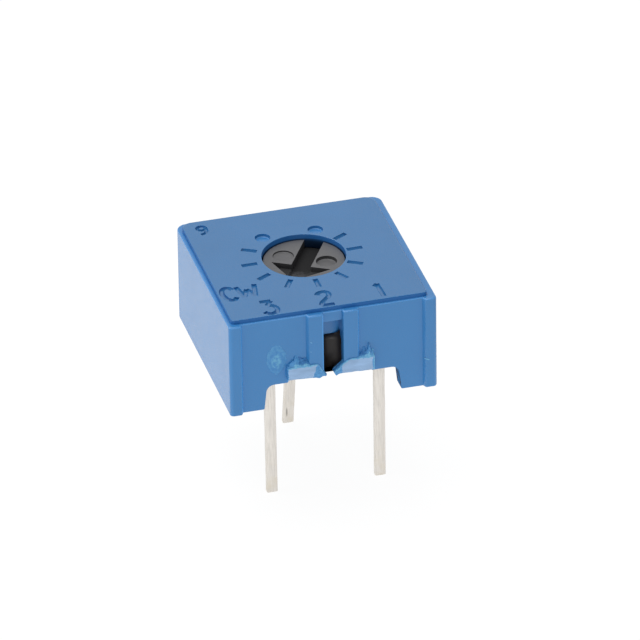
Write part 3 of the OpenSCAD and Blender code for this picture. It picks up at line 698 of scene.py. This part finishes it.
class TRIMMER_OT_housing(bpy.types.Operator):
    """Models the moulded housing with its sunk marks, torn stubs and gate scar"""
    bl_idname = "trimmer.housing"
    bl_label = "Housing"

    def execute(self, context):
        trimmer = context.scene.trimmer
        size = Millimetres(trimmer.housing)
        paint = finishes()
        body = self.outside(size, paint["housing"])
        self.inside(body, size, paint["housing"])
        round_edges(body, size.edge)
        join_onto(body, [self.raised_top(size, Millimetres(trimmer.marks), paint)])
        self.shaded_walls(body, size, [paint[finish] for finish in ("recess_shade", "brown_mottled", "ledge_highlight", "lit")])
        front = -size.depth / 2
        extras = [self.torn_stub(paint, "left_stub", size, LEFT_STUB), self.torn_stub(paint, "right_stub", size, RIGHT_STUB)]
        extras.append(self.scar(paint["scar"], front + size.panel_depth))
        for i, (x, y, z, reach, tall) in enumerate(SPECKS):
            extras.append(self.speck(f"speck_{i}", paint["curl"], (x, front + y, z), reach, tall))
        join_onto(body, extras)
        place_piece(body, "housing_moulding", "body", ["housing"])
        return {"FINISHED"}

    def outside(self, size, plastic):
        """Block with panels, groove and stand-off notches, up to the ledge."""
        w, d = size.width / 2, size.depth / 2
        ledge = size.height - size.step
        body = block("housing_body", plastic, (-w, w), (-d, d), (0, ledge))
        self.round_corners(body, size)
        rib = size.groove / 2 + size.rib
        band = w - size.band
        for x0, x1 in ((-band, -rib), (rib, band)):
            run = size.panel_slope * OVER / size.panel_depth
            outline = [(x0 - run, -d - OVER), (x1 + run, -d - OVER), (x1 - size.panel_slope, -d + size.panel_depth),
                       (x0 + size.panel_slope, -d + size.panel_depth)]
            merge(body, prism("panel_cut", plastic, outline, (-OVER, ledge + OVER)), "DIFFERENCE")
        g = size.groove / 2
        merge(body, block("groove_cut", plastic, (-g, g), (-d - OVER, -d + size.groove_depth), (-OVER, size.groove_top)), "DIFFERENCE")
        merge(body, block("groove_head", plastic, (-g, g), (-d - OVER, -d + size.panel_depth), (1, ledge + OVER)), "DIFFERENCE")
        n, h, r = size.notch / 2, size.notch_height, 0.35
        corner = [(n - r + r * math.cos(a), h - r + r * math.sin(a)) for a in [math.pi / 12 * i for i in range(7)]]
        outline = [(n + 0.14, -OVER)] + corner + [(-x, z) for x, z in reversed(corner)] + [(-n - 0.14, -OVER)]
        for side in (-1, 1):
            span = (side * d - 1.2, side * d + 1.2)
            merge(body, prism("notch_cut", plastic, outline, span, "Y"), "DIFFERENCE")
        left, right = LEFT_STUB["bottom"][0][0] + 0.1, RIGHT_STUB["bottom"][-1][0] - 0.1
        merge(body, block("torn_edge", plastic, (left, right), (-d - OVER, -d + size.wall + OVER),
                          (h - OVER, h + size.torn_rise)), "DIFFERENCE")
        return body

    def round_corners(self, piece, size):
        """Rounds the upright corners, wider at the back."""
        bevel_where(piece, lambda a, b: upright(a, b) and a.y > 0, size.back_corner, 8)
        bevel_where(piece, lambda a, b: upright(a, b) and a.y < 0, size.front_corner, 5)

    def raised_top(self, size, mark, paint):
        """Raised top face with its rounded edge, its sunk marks and the rotor's hole."""
        w, d = size.width / 2, size.depth / 2
        top = block("raised_top", paint["housing"], (-w + size.ledge_left, w - size.ledge_right),
                    (-d + size.ledge_front, d - size.ledge_back), (SEAL_CEILING + 0.01, size.height))
        self.round_corners(top, size)
        round_edges(top, size.edge, 3)
        self.sunk_marks(top, mark, size, paint)
        rim = size.hole / 2
        merge(top, drum("rotor_hole", paint["housing"], rim, (SEAL_CEILING - 1, size.height + OVER), (0, size.dial), 160), "DIFFERENCE")

        def at_rim(a, b):
            return all(abs(p.z - size.height) < 1e-3 and abs(math.hypot(p.x, p.y - size.dial) - rim) < 0.01 for p in (a, b))

        bevel_where(top, at_rim, 0.03, 2)
        # Painted shade: mark faces that face the light get the housing colour back, so only walls facing away keep the
        # darker blue.
        for face in top.data.polygons:
            lit = face.normal.y > -0.12 and face.normal.x > -0.35
            if top.data.materials[face.material_index] == paint["marks"] and lit:
                face.material_index = 0
        return top

    def inside(self, body, size, plastic):
        """Pocket, rotor chamber, seal pocket, room under the hole and over the solder joints, and the rotor's stop."""
        w, d = size.width / 2 - size.wall, size.depth / 2 - size.wall
        pocket = block("pocket", plastic, (-w, w), (-d, d), (-OVER, 2.62))
        bevel_where(pocket, upright, 0.4)
        merge(body, pocket, "DIFFERENCE")
        dial = (0, size.dial)
        for radius, low, high in ((3.5, 2.3, 3.8), (2.15, 3.5, SEAL_CEILING), (size.hole / 2 + 0.04, 3.6, size.height + OVER)):
            merge(body, drum("round_cut", plastic, radius, (low, high), dial, 96), "DIFFERENCE")
        for x, y in LEAD_ROOTS:
            merge(body, drum("joint_room", plastic, 0.62, (2.3, 2.92), (x, y), 48), "DIFFERENCE")
        stop = [(-0.617, 2.85), (0.617, 2.85), (0.8, 3.65), (-0.8, 3.65)]
        merge(body, prism("stop", plastic, [(x, y + size.dial) for x, y in stop], (3.15, 3.95)), "UNION")

    def sunk_marks(self, body, mark, size, paint):
        """Ticks, digits and end dimples, all cut into the top face."""
        middle = (mark.offset_x, size.dial + mark.offset_y)
        pitch, turn = mark.group.pitch, mark.group.turn
        for i in range(9):
            a = -math.pi / 2 + (i - 4) * pitch + turn
            ends = [(middle[0] + r * math.cos(a), middle[1] + r * math.sin(a)) for r in (mark.tick_start, mark.tick_end)]
            merge(body, self.channel(0, ends, mark.stroke, mark, size, paint), "DIFFERENCE")
        for number, (curved, points) in enumerate(STROKES):
            path = smooth_path(points) if curved else points
            merge(body, self.channel(number, path, mark.stroke, mark, size, paint), "DIFFERENCE")
        merge(body, self.channel(len(STROKES), smooth_path(DIGIT_TAIL), mark.small_stroke, mark, size, paint), "DIFFERENCE")
        merge(body, self.ring(DIGIT_RING, mark, size, paint["marks"]), "DIFFERENCE")
        for side in (-1, 1):
            a = -math.pi / 2 + side * 5 * pitch + turn
            centre = (middle[0] + mark.dimple_reach * math.cos(a), middle[1] + mark.dimple_reach * math.sin(a))
            tool = drum("dimple", paint["marks"], mark.dimple / 2, (size.height - mark.depth, size.height + OVER), centre, 48)
            # Painted shade on the dimple's wall; its floor keeps the housing colour.
            tool.data.materials.append(paint["housing"])
            for face in tool.data.polygons:
                face.material_index = 1 if abs(face.normal.z) > 0.5 else 0
            bevel_where(tool, lambda a, b: max(a.z, b.z) < size.height, 0.09, 4)
            merge(body, tool, "DIFFERENCE")

    def shaded_walls(self, body, size, finishes_used):
        """Paints shade on the raised top's and the hole's walls as a deeper blue, paints highlights on the ledge and on
        the front panels' right-facing edges, and blends dark brown into one notch corner.
        """
        index = len(body.data.materials)
        for finish in finishes_used:
            body.data.materials.append(finish)
        ledge = size.height - size.step
        for face in body.data.polygons:
            x, y, z = face.center
            steep = abs(face.normal.z) < (0.9 if z > ledge else 0.5)
            reach = math.hypot(x, y - size.dial)
            in_hole = reach < size.hole / 2 + 0.02 and z > 4
            on_step = (z > ledge + 0.01 or 0.15 < ledge - z < 0.22) and 4 < max(abs(x), abs(y)) < 4.65
            # Dark brown blend for the faces in one notch corner.
            in_corner = 2.6 < x < 3.2 and y < -3.8 and 0.3 < z < 1.25 and abs(face.normal.y) < 0.5
            # Painted highlight on the ledge's upward faces.
            ledge_highlight = face.normal.z > 0.2 and abs(z - ledge) < 0.07
            # Painted highlight on the front panels' edges that face right.
            lit = face.normal.x > 0.3 and y < -4.4 and abs(x) < 4.4 and z > 1.3
            # Painted shade on the steep walls at the raised top's foot and in the hole.
            if steep and (in_hole or on_step):
                face.material_index = index
            elif in_corner:
                face.material_index = index + 1
            elif ledge_highlight or lit:
                face.material_index = index + (2 if ledge_highlight else 3)

    def channel(self, number, path, half_width, mark, size, paint):
        """Shallow rounded groove tool along a path; its height rises a little with its number."""
        rise = 0.004 + 0.0011 * number
        # The tool carries the painted shade of the marks onto the groove it cuts.
        tool = sweep("stroke", paint["marks"], [(x, y, 0) for x, y in path], half_width, 4)
        for vertex in tool.data.vertices:
            vertex.co.z = size.height + rise + vertex.co.z * (mark.stroke_depth + rise) / half_width
        return tool

    def ring(self, place, mark, size, plastic):
        """Shallow rounded groove tool round the hole of a digit."""
        x, y, half_width, half_depth = place
        bpy.ops.object.select_all(action="DESELECT")
        bpy.ops.mesh.primitive_torus_add(major_radius=1, minor_radius=0.5, major_segments=48, minor_segments=14)
        tool = start("digit_ring", plastic)
        for vertex in tool.data.vertices:
            a = vertex.co
            reach = math.hypot(a.x, a.y)
            out = (reach - 1) * 2 * mark.small_stroke
            vertex.co = (x + a.x / reach * (half_width + out), y + a.y / reach * (half_depth + out),
                         size.height + 0.003 + a.z * 2 * (mark.stroke_depth + 0.003))
        return tool

    def torn_stub(self, paint, name, size, stub):
        """Rough remainder of the tab that was torn from the front wall, lofted round its profile."""
        noise.seed_set(NOISE_SEED)
        bpy.ops.object.select_all(action="DESELECT")
        bpy.ops.mesh.primitive_grid_add(x_subdivisions=90, y_subdivisions=64, size=2)
        piece = start(name, paint["fringe"])
        for finish in ("torn", "curl", "roof_shadow"):
            piece.data.materials.append(paint[finish])
        front = -size.depth / 2 - 0.045
        back = -size.depth / 2 + size.panel_depth + 0.07
        left, right = stub["bottom"][0][0], stub["bottom"][-1][0]
        for vertex in piece.data.vertices:
            u, v = (vertex.co.x + 1) / 2, (vertex.co.y + 1) / 2 % 0.9999
            x = left + (right - left) * u
            low, high, roof = [along(stub[row], x) for row in ("bottom", "top", "roof")]
            rough = noise.noise_vector(Vector((x * 3.5 + stub["seed"], v * 5, 2)))
            fine = noise.noise_vector(Vector((x * 11, v * 12 + stub["seed"], 5)))
            if v < 0.35:
                t = v / 0.35
                place = Vector((x, front + 0.03 * (1 - t) ** 3, low + (high - low) * t))
            elif v < 0.75:
                t = (v - 0.35) / 0.4
                ragged = roof * (1 + 0.45 * rough.z + 0.2 * fine.z)
                place = Vector((x, front + (back - front) * t, high + ragged * math.sin(math.pi / 2 * min(1, 1.25 * t)) ** 1.5))
            elif v < 0.85:
                t = (v - 0.75) / 0.1
                place = Vector((x, back, high + roof + (low - high - roof) * t))
            else:
                t = (v - 0.85) / 0.15
                place = Vector((x, back + (front + 0.03 - back) * t, low))
            on_roof = 1 if 0.36 < v < 0.75 else 0.25
            place.x += on_roof * (0.06 * rough.x + 0.015 * fine.x)
            place.y = max(place.y + on_roof * (0.06 * rough.y + 0.015 * fine.y), front - 0.004)
            place.z += 0.025 * fine.z if on_roof == 1 else 0.02 * rough.z
            vertex.co = place
        bpy.ops.object.mode_set(mode="EDIT")
        bpy.ops.mesh.select_all(action="SELECT")
        bpy.ops.mesh.remove_doubles(threshold=0.012)
        bpy.ops.mesh.fill_holes(sides=0)
        bpy.ops.mesh.select_all(action="SELECT")
        bpy.ops.mesh.normals_make_consistent(inside=False)
        bpy.ops.object.mode_set(mode="OBJECT")
        pale_from, pale_to = stub["pale"]
        for face in piece.data.polygons:
            x, y, z = face.center
            low, high = along(stub["bottom"], x), along(stub["top"], x)
            wobble = 0.05 * noise.noise(Vector((x * 6, z * 6, stub["seed"])))
            lean = stub["lean"] * (high - z) / max(high - low, 0.1)
            flat = face.normal.y < -0.75 and y < front + 0.04
            if x > stub["curl"] or (flat and z > high - 0.055 + wobble):
                face.material_index = 2
            elif flat and pale_from + wobble < x < pale_to - lean + wobble:
                face.material_index = 1
            # Painted shadow on roof faces within the stub's shadow span.
            elif not flat and z > high + 0.06 and stub["shadow"][0] + wobble < x < stub["shadow"][1] + 2 * wobble:
                face.material_index = 3
        return piece

    def scar(self, plastic, panel):
        """Rough teardrop left where the mould's gate broke off."""
        bpy.ops.object.select_all(action="DESELECT")
        bpy.ops.mesh.primitive_uv_sphere_add(segments=48, ring_count=32, radius=1)
        piece = start("gate_scar", plastic)
        x, z, half_width, half_height = SCAR
        for vertex in piece.data.vertices:
            p = vertex.co
            taper = 1 - 0.4 * max(0, -p.z) ** 2
            rough = noise.noise(Vector((p.x * 4, p.y, p.z * 4 + 7)))
            fine = noise.noise(Vector((p.x * 11, p.y * 3, p.z * 11)))
            vertex.co = (x + half_width * p.x * taper * (1 + 0.12 * rough),
                         panel + p.y * (0.026 + 0.02 * rough + 0.014 * fine),
                         z + half_height * p.z * (1 + 0.07 * rough))
        return piece

    def speck(self, name, plastic, centre, reach, tall):
        """Small pale nick or scratch on the front."""
        bpy.ops.object.select_all(action="DESELECT")
        bpy.ops.mesh.primitive_ico_sphere_add(subdivisions=2, radius=1)
        piece = start(name, plastic)
        for vertex in piece.data.vertices:
            p = vertex.co
            vertex.co = (centre[0] + p.x * reach, centre[1] + p.y * 0.012, centre[2] + p.z * tall - p.x * 0.5 * reach)
        return piece


class TRIMMER_OT_rotor(bpy.types.Operator):
    """Models the slotted rotor with its arrowhead, dimples, flange, lug and stakes"""
    bl_idname = "trimmer.rotor"
    bl_label = "Rotor"

    def execute(self, context):
        size = Millimetres(context.scene.trimmer.rotor)
        dial = context.scene.trimmer.housing.dial / MM
        paint = finishes()
        plastic, sunk, slot = paint["rotor"], paint["rotor_sunk_shade"], paint["slot"]
        neck = drum("rotor_neck", plastic, size.neck, (size.underside, size.face), sides=160)
        reach = size.neck + OVER
        merge(neck, block("slot", slot, (-reach, reach), (-size.slot / 2, size.slot / 2),
                          (size.face - size.slot_depth, size.face + OVER)), "DIFFERENCE")
        # Painted shade in the arrowhead and on the grip dimples' walls; the grips' floors keep the rotor colour.
        base, half = size.arrow_base, size.arrow_half
        merge(neck, prism("arrow", sunk, [(base, -half), (base + half, 0), (base, half)],
                          (size.face - size.arrow_depth, size.face + OVER)), "DIFFERENCE")
        for side in (-1, 1):
            deep = size.grip_left if side < 0 else size.grip_right
            tool = drum("grip", sunk, size.grip / 2, (size.face - deep, size.face + OVER),
                        (-size.grip_back, side * size.grip_side), 64)
            tool.data.materials.append(plastic)
            for face in tool.data.polygons:
                face.material_index = 1 if abs(face.normal.z) > 0.5 else 0
            bevel_where(tool, lambda a, b: max(a.z, b.z) < size.face, 0.7 * deep, 4)
            merge(neck, tool, "DIFFERENCE")
        round_edges(neck, size.edge)
        flange = drum("flange", plastic, size.flange, (size.underside, size.underside + size.flange_thick), sides=128)
        arc = [math.radians(a) for a in range(-12, 13, 3)]
        lug = [(2.5 * math.cos(a), 2.5 * math.sin(a)) for a in arc] + [(3.35 * math.cos(a), 3.35 * math.sin(a)) for a in reversed(arc)]
        merge(flange, prism("lug", plastic, lug, (size.underside, size.underside + size.flange_thick)), "UNION")
        round_edges(flange, size.edge)
        parts = [flange]
        for side in (-1, 1):
            for radius, low, high in ((0.22, 2.95, 3.3), (0.34, 2.93, 3.05)):
                stake = drum("stake", plastic, radius, (low, high), (0, side * 1.45), 40)
                round_edges(stake, size.edge)
                parts.append(stake)
        join_onto(neck, parts)
        neck.rotation_euler = (0, 0, size.group.turn)
        neck.location = (0, dial, 0)
        bpy.ops.object.transform_apply(location=True, rotation=True, scale=True)
        place_piece(neck, "rotor_moulding", "rotor", ["rotor"])
        return {"FINISHED"}


class TRIMMER_OT_potting(bpy.types.Operator):
    """Models the black epoxy with its creep along walls and leads and its tongue in the groove"""
    bl_idname = "trimmer.potting"
    bl_label = "Potting"

    def execute(self, context):
        trimmer = context.scene.trimmer
        size, house = Millimetres(trimmer.potting), Millimetres(trimmer.housing)
        black = finishes()["potting"]
        w, d = house.width / 2 - house.wall, house.depth / 2 - house.wall
        bpy.ops.object.select_all(action="DESELECT")
        bpy.ops.mesh.primitive_grid_add(x_subdivisions=90, y_subdivisions=90, size=2)
        fill = start("potting_fill", black)
        for vertex in fill.data.vertices:
            x, y = vertex.co.x * w * 1.02, vertex.co.y * d * 1.02
            wall = max(0, min(w - abs(x), d - abs(y)))
            creep = size.creep * math.exp(-wall / 0.22)
            for lead_x, lead_y in LEAD_ROOTS:
                near = math.hypot(max(0, abs(x - lead_x) - 0.25), max(0, abs(y - lead_y) - 0.125))
                creep += 1.3 * size.creep * math.exp(-near / 0.16)
            sag = 0.025 * noise.noise(Vector((x * 0.5, y * 0.5, 3)))
            vertex.co = (x, y, size.underside - creep + sag)
        bpy.ops.object.mode_set(mode="EDIT")
        bpy.ops.mesh.select_all(action="SELECT")
        bpy.ops.mesh.extrude_region_move(TRANSFORM_OT_translate={"value": (0, 0, 1)})
        bpy.ops.mesh.select_all(action="SELECT")
        bpy.ops.mesh.normals_make_consistent(inside=False)
        bpy.ops.object.mode_set(mode="OBJECT")
        keep = block("potting_room", black, (-w, w), (-d, d), (0, size.top))
        bevel_where(keep, upright, 0.4)
        merge(fill, keep, "INTERSECT")
        g, front = house.groove / 2, -house.depth / 2 + size.tongue_depth
        back = house.groove_depth - size.tongue_depth
        corners = [(-g, front, size.underside - 0.03), (g, front, size.underside - 0.03),
                   (g, front, size.tongue_top), (-g, front, size.tongue_top)]
        tongue = sheet_solid("tongue", black, corners, (20, 48), (0, back, 0), 1)
        for vertex in tongue.data.vertices:
            p = vertex.co
            if p.y < front + back / 2:
                side = abs(p.x / g)
                climb = (p.z - size.underside) / (size.tongue_top - size.underside)
                p.z += 0.28 * side ** 5 * max(0, climb)
                fillet = max(0, (p.z - size.tongue_top + 0.2) / 0.2) ** 2
                p.y += size.hollow * (1 - side ** 2) - 0.1 * side ** 6 + (back - size.hollow) * min(1, fillet)
                p.y = min(p.y + 0.015 * noise.noise(p * 2.5), front + back - 0.01)
        join_onto(fill, [tongue])
        place_piece(fill, "potting_epoxy", "body", ["potting"], 50)
        return {"FINISHED"}


class TRIMMER_OT_leads(bpy.types.Operator):
    """Models the three flat tinned leads with their bends and cut tips"""
    bl_idname = "trimmer.leads"
    bl_label = "Leads"

    def execute(self, context):
        size = Millimetres(context.scene.trimmer.lead)
        tin = finishes()["lead"]
        bend = context.scene.trimmer.potting.underside / MM
        low = -SEAT / MM
        for number, ((x, y), (lean_x, lean_y)) in enumerate(zip(LEAD_ROOTS, LEAD_LEANS), start=1):
            w, t = size.width / 2, size.thick / 2
            lead = block(f"lead_{number}_strip", tin, (x - w, x + w), (y - t, y + t), (low, 2.72))
            bevel_where(lead, lambda a, b: a.z < low + 0.01 and b.z < low + 0.01, size.tip, 3)
            bpy.ops.object.mode_set(mode="EDIT")
            for height in [bend] + [bend - 0.45 * i for i in range(1, 15)]:
                bpy.ops.mesh.select_all(action="SELECT")
                bpy.ops.mesh.bisect(plane_co=(0, 0, height), plane_no=(0, 0, 1))
            bpy.ops.object.mode_set(mode="OBJECT")
            round_edges(lead, size.edge, 2, 50)
            for vertex in lead.data.vertices:
                p = vertex.co
                if p.z < bend:
                    share = (bend - p.z) / (bend - low)
                    wave = 0.012 * math.sin(3 * p.z + number) * min(1, 4 * share) * (1 - share)
                    p.x += lean_x * share + wave
                    p.y += lean_y * share + wave
            place_piece(lead, f"lead_{number}_strip", "body", [f"lead_{number}"], 60)
        return {"FINISHED"}


class TRIMMER_OT_inner_parts(bpy.types.Operator):
    """Gives the sealed inner pieces of the CAD model their real finishes"""
    bl_idname = "trimmer.inner_parts"
    bl_label = "Inner parts"

    def execute(self, context):
        silver = fired("conductive_film", (0.56, 0.55, 0.52), 0.34, 0.004, 0.06, 0.9)
        solder = fired("solder_joint", (0.62, 0.63, 0.64), 0.24, 0.01, 0.25, 1.0)
        inner = {
            "rotor_seal": fired("seal_rubber", (0.02, 0.02, 0.022), 0.55, 0.006, 0.12),
            "wiper": fired("wiper_alloy", (0.72, 0.6, 0.34), 0.26, 0.003, 0.08, 1.0),
            "substrate": fired("alumina_ceramic", (0.82, 0.81, 0.77), 0.62, 0.008, 0.05),
            "resistive_track": fired("resistive_film", (0.03, 0.028, 0.028), 0.45, 0.006, 0.04),
            "end_film_1": silver, "end_film_3": silver, "collector_film": silver,
            "solder_1": solder, "solder_2": solder, "solder_3": solder,
        }
        for name, material in inner.items():
            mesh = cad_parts[name].data
            mesh.materials.clear()
            mesh.materials.append(material)
        return {"FINISHED"}


class TRIMMER_OT_stage(bpy.types.Operator):
    """Sets the camera at the photograph's angle, the plain floor and the soft lamps"""
    bl_idname = "trimmer.stage"
    bl_label = "Stage"

    def execute(self, context):
        stage = context.scene.trimmer.stage
        self.camera(context, stage)
        self.floor()
        self.sky(context, stage)
        for name, place, size, power in (("key_lamp", (-0.06, 0.08, 0.34), 0.28, stage.key),
                                         ("side_lamp", (-0.32, 0.0, 0.07), 0.16, stage.side),
                                         ("front_lamp", (-0.02, -0.34, 0.06), 0.12, stage.front)):
            bpy.ops.object.select_all(action="DESELECT")
            bpy.ops.object.light_add(type="AREA", location=place)
            lamp = context.object
            lamp.name = name
            lamp.data.size = size
            lamp.data.energy = power
            aim = Vector((0, 0, 0.008)) - Vector(place)
            lamp.rotation_euler = aim.to_track_quat("-Z", "Y").to_euler()
        context.scene.view_settings.view_transform = "Standard"
        return {"FINISHED"}

    def camera(self, context, stage):
        """Camera at the photograph's viewing angle."""
        a, e, r = stage.azimuth, stage.elevation, stage.roll
        back = Vector((math.sin(a) * math.cos(e), -math.cos(a) * math.cos(e), math.sin(e)))
        right = Vector((math.cos(a), math.sin(a), 0))
        up = back.cross(right)
        side = right * math.cos(r) + up * math.sin(r)
        head = up * math.cos(r) - right * math.sin(r)
        place = Vector((stage.aim_side, 0, stage.aim_height)) + back * stage.distance
        turn = Matrix((side, head, back)).transposed().to_4x4()
        bpy.ops.object.camera_add()
        camera = context.object
        camera.name = "photo_camera"
        camera.matrix_world = Matrix.Translation(place) @ turn
        camera.data.sensor_width = 36
        camera.data.lens = stage.lens
        camera.data.clip_start = 0.01
        camera.data.clip_end = 10
        context.scene.camera = camera

    def floor(self):
        """White floor that keeps a soft shadow of the object."""
        bpy.ops.object.select_all(action="DESELECT")
        bpy.ops.mesh.primitive_plane_add(size=4, location=(0, 0, -0.00002))
        plane = bpy.context.object
        plane.name = "floor"
        material = bpy.data.materials.new("white_floor")
        material.use_nodes = True
        tree = material.node_tree
        tree.nodes.clear()
        shadow = tree.nodes.new("ShaderNodeBsdfDiffuse")
        shadow.inputs["Color"].default_value = (0.12, 0.12, 0.12, 1)
        glow = tree.nodes.new("ShaderNodeEmission")
        glow.inputs["Strength"].default_value = 0.93
        both = tree.nodes.new("ShaderNodeAddShader")
        tree.links.new(shadow.outputs[0], both.inputs[0])
        tree.links.new(glow.outputs[0], both.inputs[1])
        output = tree.nodes.new("ShaderNodeOutputMaterial")
        tree.links.new(both.outputs[0], output.inputs["Surface"])
        plane.data.materials.append(material)

    def sky(self, context, stage):
        """Even light from all round, white where the camera or a reflection sees it."""
        world = context.scene.world or bpy.data.worlds.new("sky")
        context.scene.world = world
        world.use_nodes = True
        tree = world.node_tree
        tree.nodes.clear()
        rays = tree.nodes.new("ShaderNodeLightPath")
        seen = tree.nodes.new("ShaderNodeMath")
        seen.operation = "MAXIMUM"
        tree.links.new(rays.outputs["Is Camera Ray"], seen.inputs[0])
        tree.links.new(rays.outputs["Is Glossy Ray"], seen.inputs[1])
        strength = tree.nodes.new("ShaderNodeMapRange")
        strength.inputs["To Min"].default_value = stage.sky
        strength.inputs["To Max"].default_value = 1
        tree.links.new(seen.outputs[0], strength.inputs["Value"])
        glow = tree.nodes.new("ShaderNodeBackground")
        glow.inputs["Color"].default_value = (1, 1, 1, 1)
        tree.links.new(strength.outputs[0], glow.inputs["Strength"])
        output = tree.nodes.new("ShaderNodeOutputWorld")
        tree.links.new(glow.outputs[0], output.inputs["Surface"])


# ---- Places taken from the photograph with the fitted camera, in millimetres ----

SEAL_CEILING = 4.07
LEAD_ROOTS = [(2.71, -2.34), (0.17, 2.74), (-2.37, -2.34)]
LEAD_LEANS = [(-0.05, -0.19), (-0.3, 0.3), (-0.01, -0.22)]
LEAD_MARK = (-0.2, 2.9, 0.6)

STROKES = [
    (False, [(-2.97, -3.22), (-2.46, -3.22)]),
    (False, [(-2.48, -3.24), (-2.7, -3.6)]),
    (True, [(-2.66, -3.62), (-2.5, -3.65), (-2.37, -3.82), (-2.35, -4.04), (-2.46, -4.24), (-2.68, -4.31),
            (-2.86, -4.24), (-2.95, -4.1)]),
    (True, [(-0.37, -3.36), (-0.28, -3.2), (-0.08, -3.12), (0.1, -3.18), (0.17, -3.36), (0.1, -3.58),
            (-0.12, -3.82), (-0.3, -4.03), (-0.38, -4.24)]),
    (False, [(-0.42, -4.27), (0.2, -4.27)]),
    (False, [(2.28, -3.34), (2.46, -3.14)]),
    (False, [(2.44, -3.12), (2.47, -4.26)]),
    (True, [(-3.84, -1.84), (-3.93, -1.68), (-4.1, -1.6), (-4.26, -1.7), (-4.35, -1.93), (-4.35, -2.2),
            (-4.26, -2.5), (-4.1, -2.69), (-3.92, -2.68), (-3.8, -2.5)]),
    (False, [(-3.64, -1.64), (-3.45, -2.6)]),
    (False, [(-3.47, -2.58), (-3.21, -1.96)]),
    (False, [(-3.23, -1.96), (-2.95, -2.58)]),
    (False, [(-2.97, -2.6), (-2.79, -1.6)]),
]

NOISE_SEED = 3

# Digit 9: middle of its ring, the ring's two half widths, and its tail
DIGIT_RING = (-3.78, 3.83, 0.185, 0.18)
DIGIT_TAIL = [(-3.6, 3.89), (-3.59, 3.65), (-3.64, 3.47), (-3.76, 3.35), (-3.92, 3.3)]

# Rows of (x, height) for the lower edge and the upper edge of a stub's face, and (x, rise) for its torn roof
LEFT_STUB = {
    "seed": 3.1,
    "bottom": [(-2.13, 1.46), (-1.5, 1.44), (-0.85, 1.4), (-0.66, 1.34), (-0.52, 1.42), (-0.36, 1.4)],
    "top": [(-2.13, 2.06), (-1.9, 2.1), (-0.72, 2.08), (-0.6, 1.86), (-0.46, 1.6), (-0.36, 1.48)],
    "roof": [(-2.13, 0.04), (-1.96, 0.18), (-1.82, 0.34), (-1.72, 0.5), (-1.62, 0.36), (-1.48, 0.3), (-1.3, 0.3),
             (-1.15, 0.2), (-1.0, 0.12), (-0.8, 0.07), (-0.36, 0.02)],
    "shadow": (-1.58, -1.08),
    "pale": (-2.09, -0.78),
    "lean": 0.2,
    "curl": 9,
}
RIGHT_STUB = {
    "seed": 8.4,
    "bottom": [(0.0, 1.5), (0.09, 1.34), (0.22, 1.42), (1.0, 1.41), (1.86, 1.38)],
    "top": [(0.0, 1.54), (0.2, 1.72), (0.45, 1.96), (0.72, 2.13), (1.2, 2.1), (1.86, 2.1)],
    "roof": [(0.0, 0.02), (0.8, 0.03), (1.0, 0.1), (1.18, 0.26), (1.36, 0.3), (1.56, 0.36), (1.64, 0.7), (1.7, 0.36),
             (1.86, 0.2)],
    "shadow": (1.08, 1.5),
    "pale": (0.36, 1.77),
    "lean": 0.0,
    "curl": 1.81,
}
SCAR = (-2.58, 2.48, 0.45, 0.75)
SPECKS = [(-1.03, 0.0, 3.22, 0.045, 0.035), (3.2, 0.24, 1.95, 0.025, 0.035), (4.28, 0.0, 1.48, 0.13, 0.03),
          (-1.05, 0.0, 2.75, 0.02, 0.02)]


# ---- Panel and registration ----

OPERATORS = (TRIMMER_OT_housing, TRIMMER_OT_rotor, TRIMMER_OT_potting, TRIMMER_OT_leads,
             TRIMMER_OT_inner_parts, TRIMMER_OT_stage)


class TRIMMER_PT_sidebar(bpy.types.Panel):
    """Sidebar panel with the sizes, the finishes and one button for each piece"""
    bl_label = "Trimmer potentiometer"
    bl_idname = "TRIMMER_PT_sidebar"
    bl_space_type = "VIEW_3D"
    bl_region_type = "UI"
    bl_category = "Trimmer"

    def draw(self, context):
        settings = context.scene.trimmer
        for group in ("housing", "marks", "rotor", "lead", "potting", "finish", "stage"):
            box = self.layout.box()
            box.label(text=group.capitalize())
            for name in getattr(settings, group).__annotations__:
                box.prop(getattr(settings, group), name)
        for operator in OPERATORS:
            self.layout.operator(operator.bl_idname)


CLASSES = (HousingSizes, MarkSizes, RotorSizes, LeadSizes, PottingSizes, Finishes, StageSettings,
           TrimmerSettings, *OPERATORS, TRIMMER_PT_sidebar)


def register():
    for cls in CLASSES:
        bpy.utils.register_class(cls)
    bpy.types.Scene.trimmer = bpy.props.PointerProperty(type=TrimmerSettings)


def unregister():
    del bpy.types.Scene.trimmer
    for cls in reversed(CLASSES):
        bpy.utils.unregister_class(cls)


def main():
    register()
    bpy.ops.trimmer.housing()
    bpy.ops.trimmer.rotor()
    bpy.ops.trimmer.potting()
    bpy.ops.trimmer.leads()
    bpy.ops.trimmer.inner_parts()
    bpy.ops.trimmer.stage()


if __name__ == "__main__":
    main()
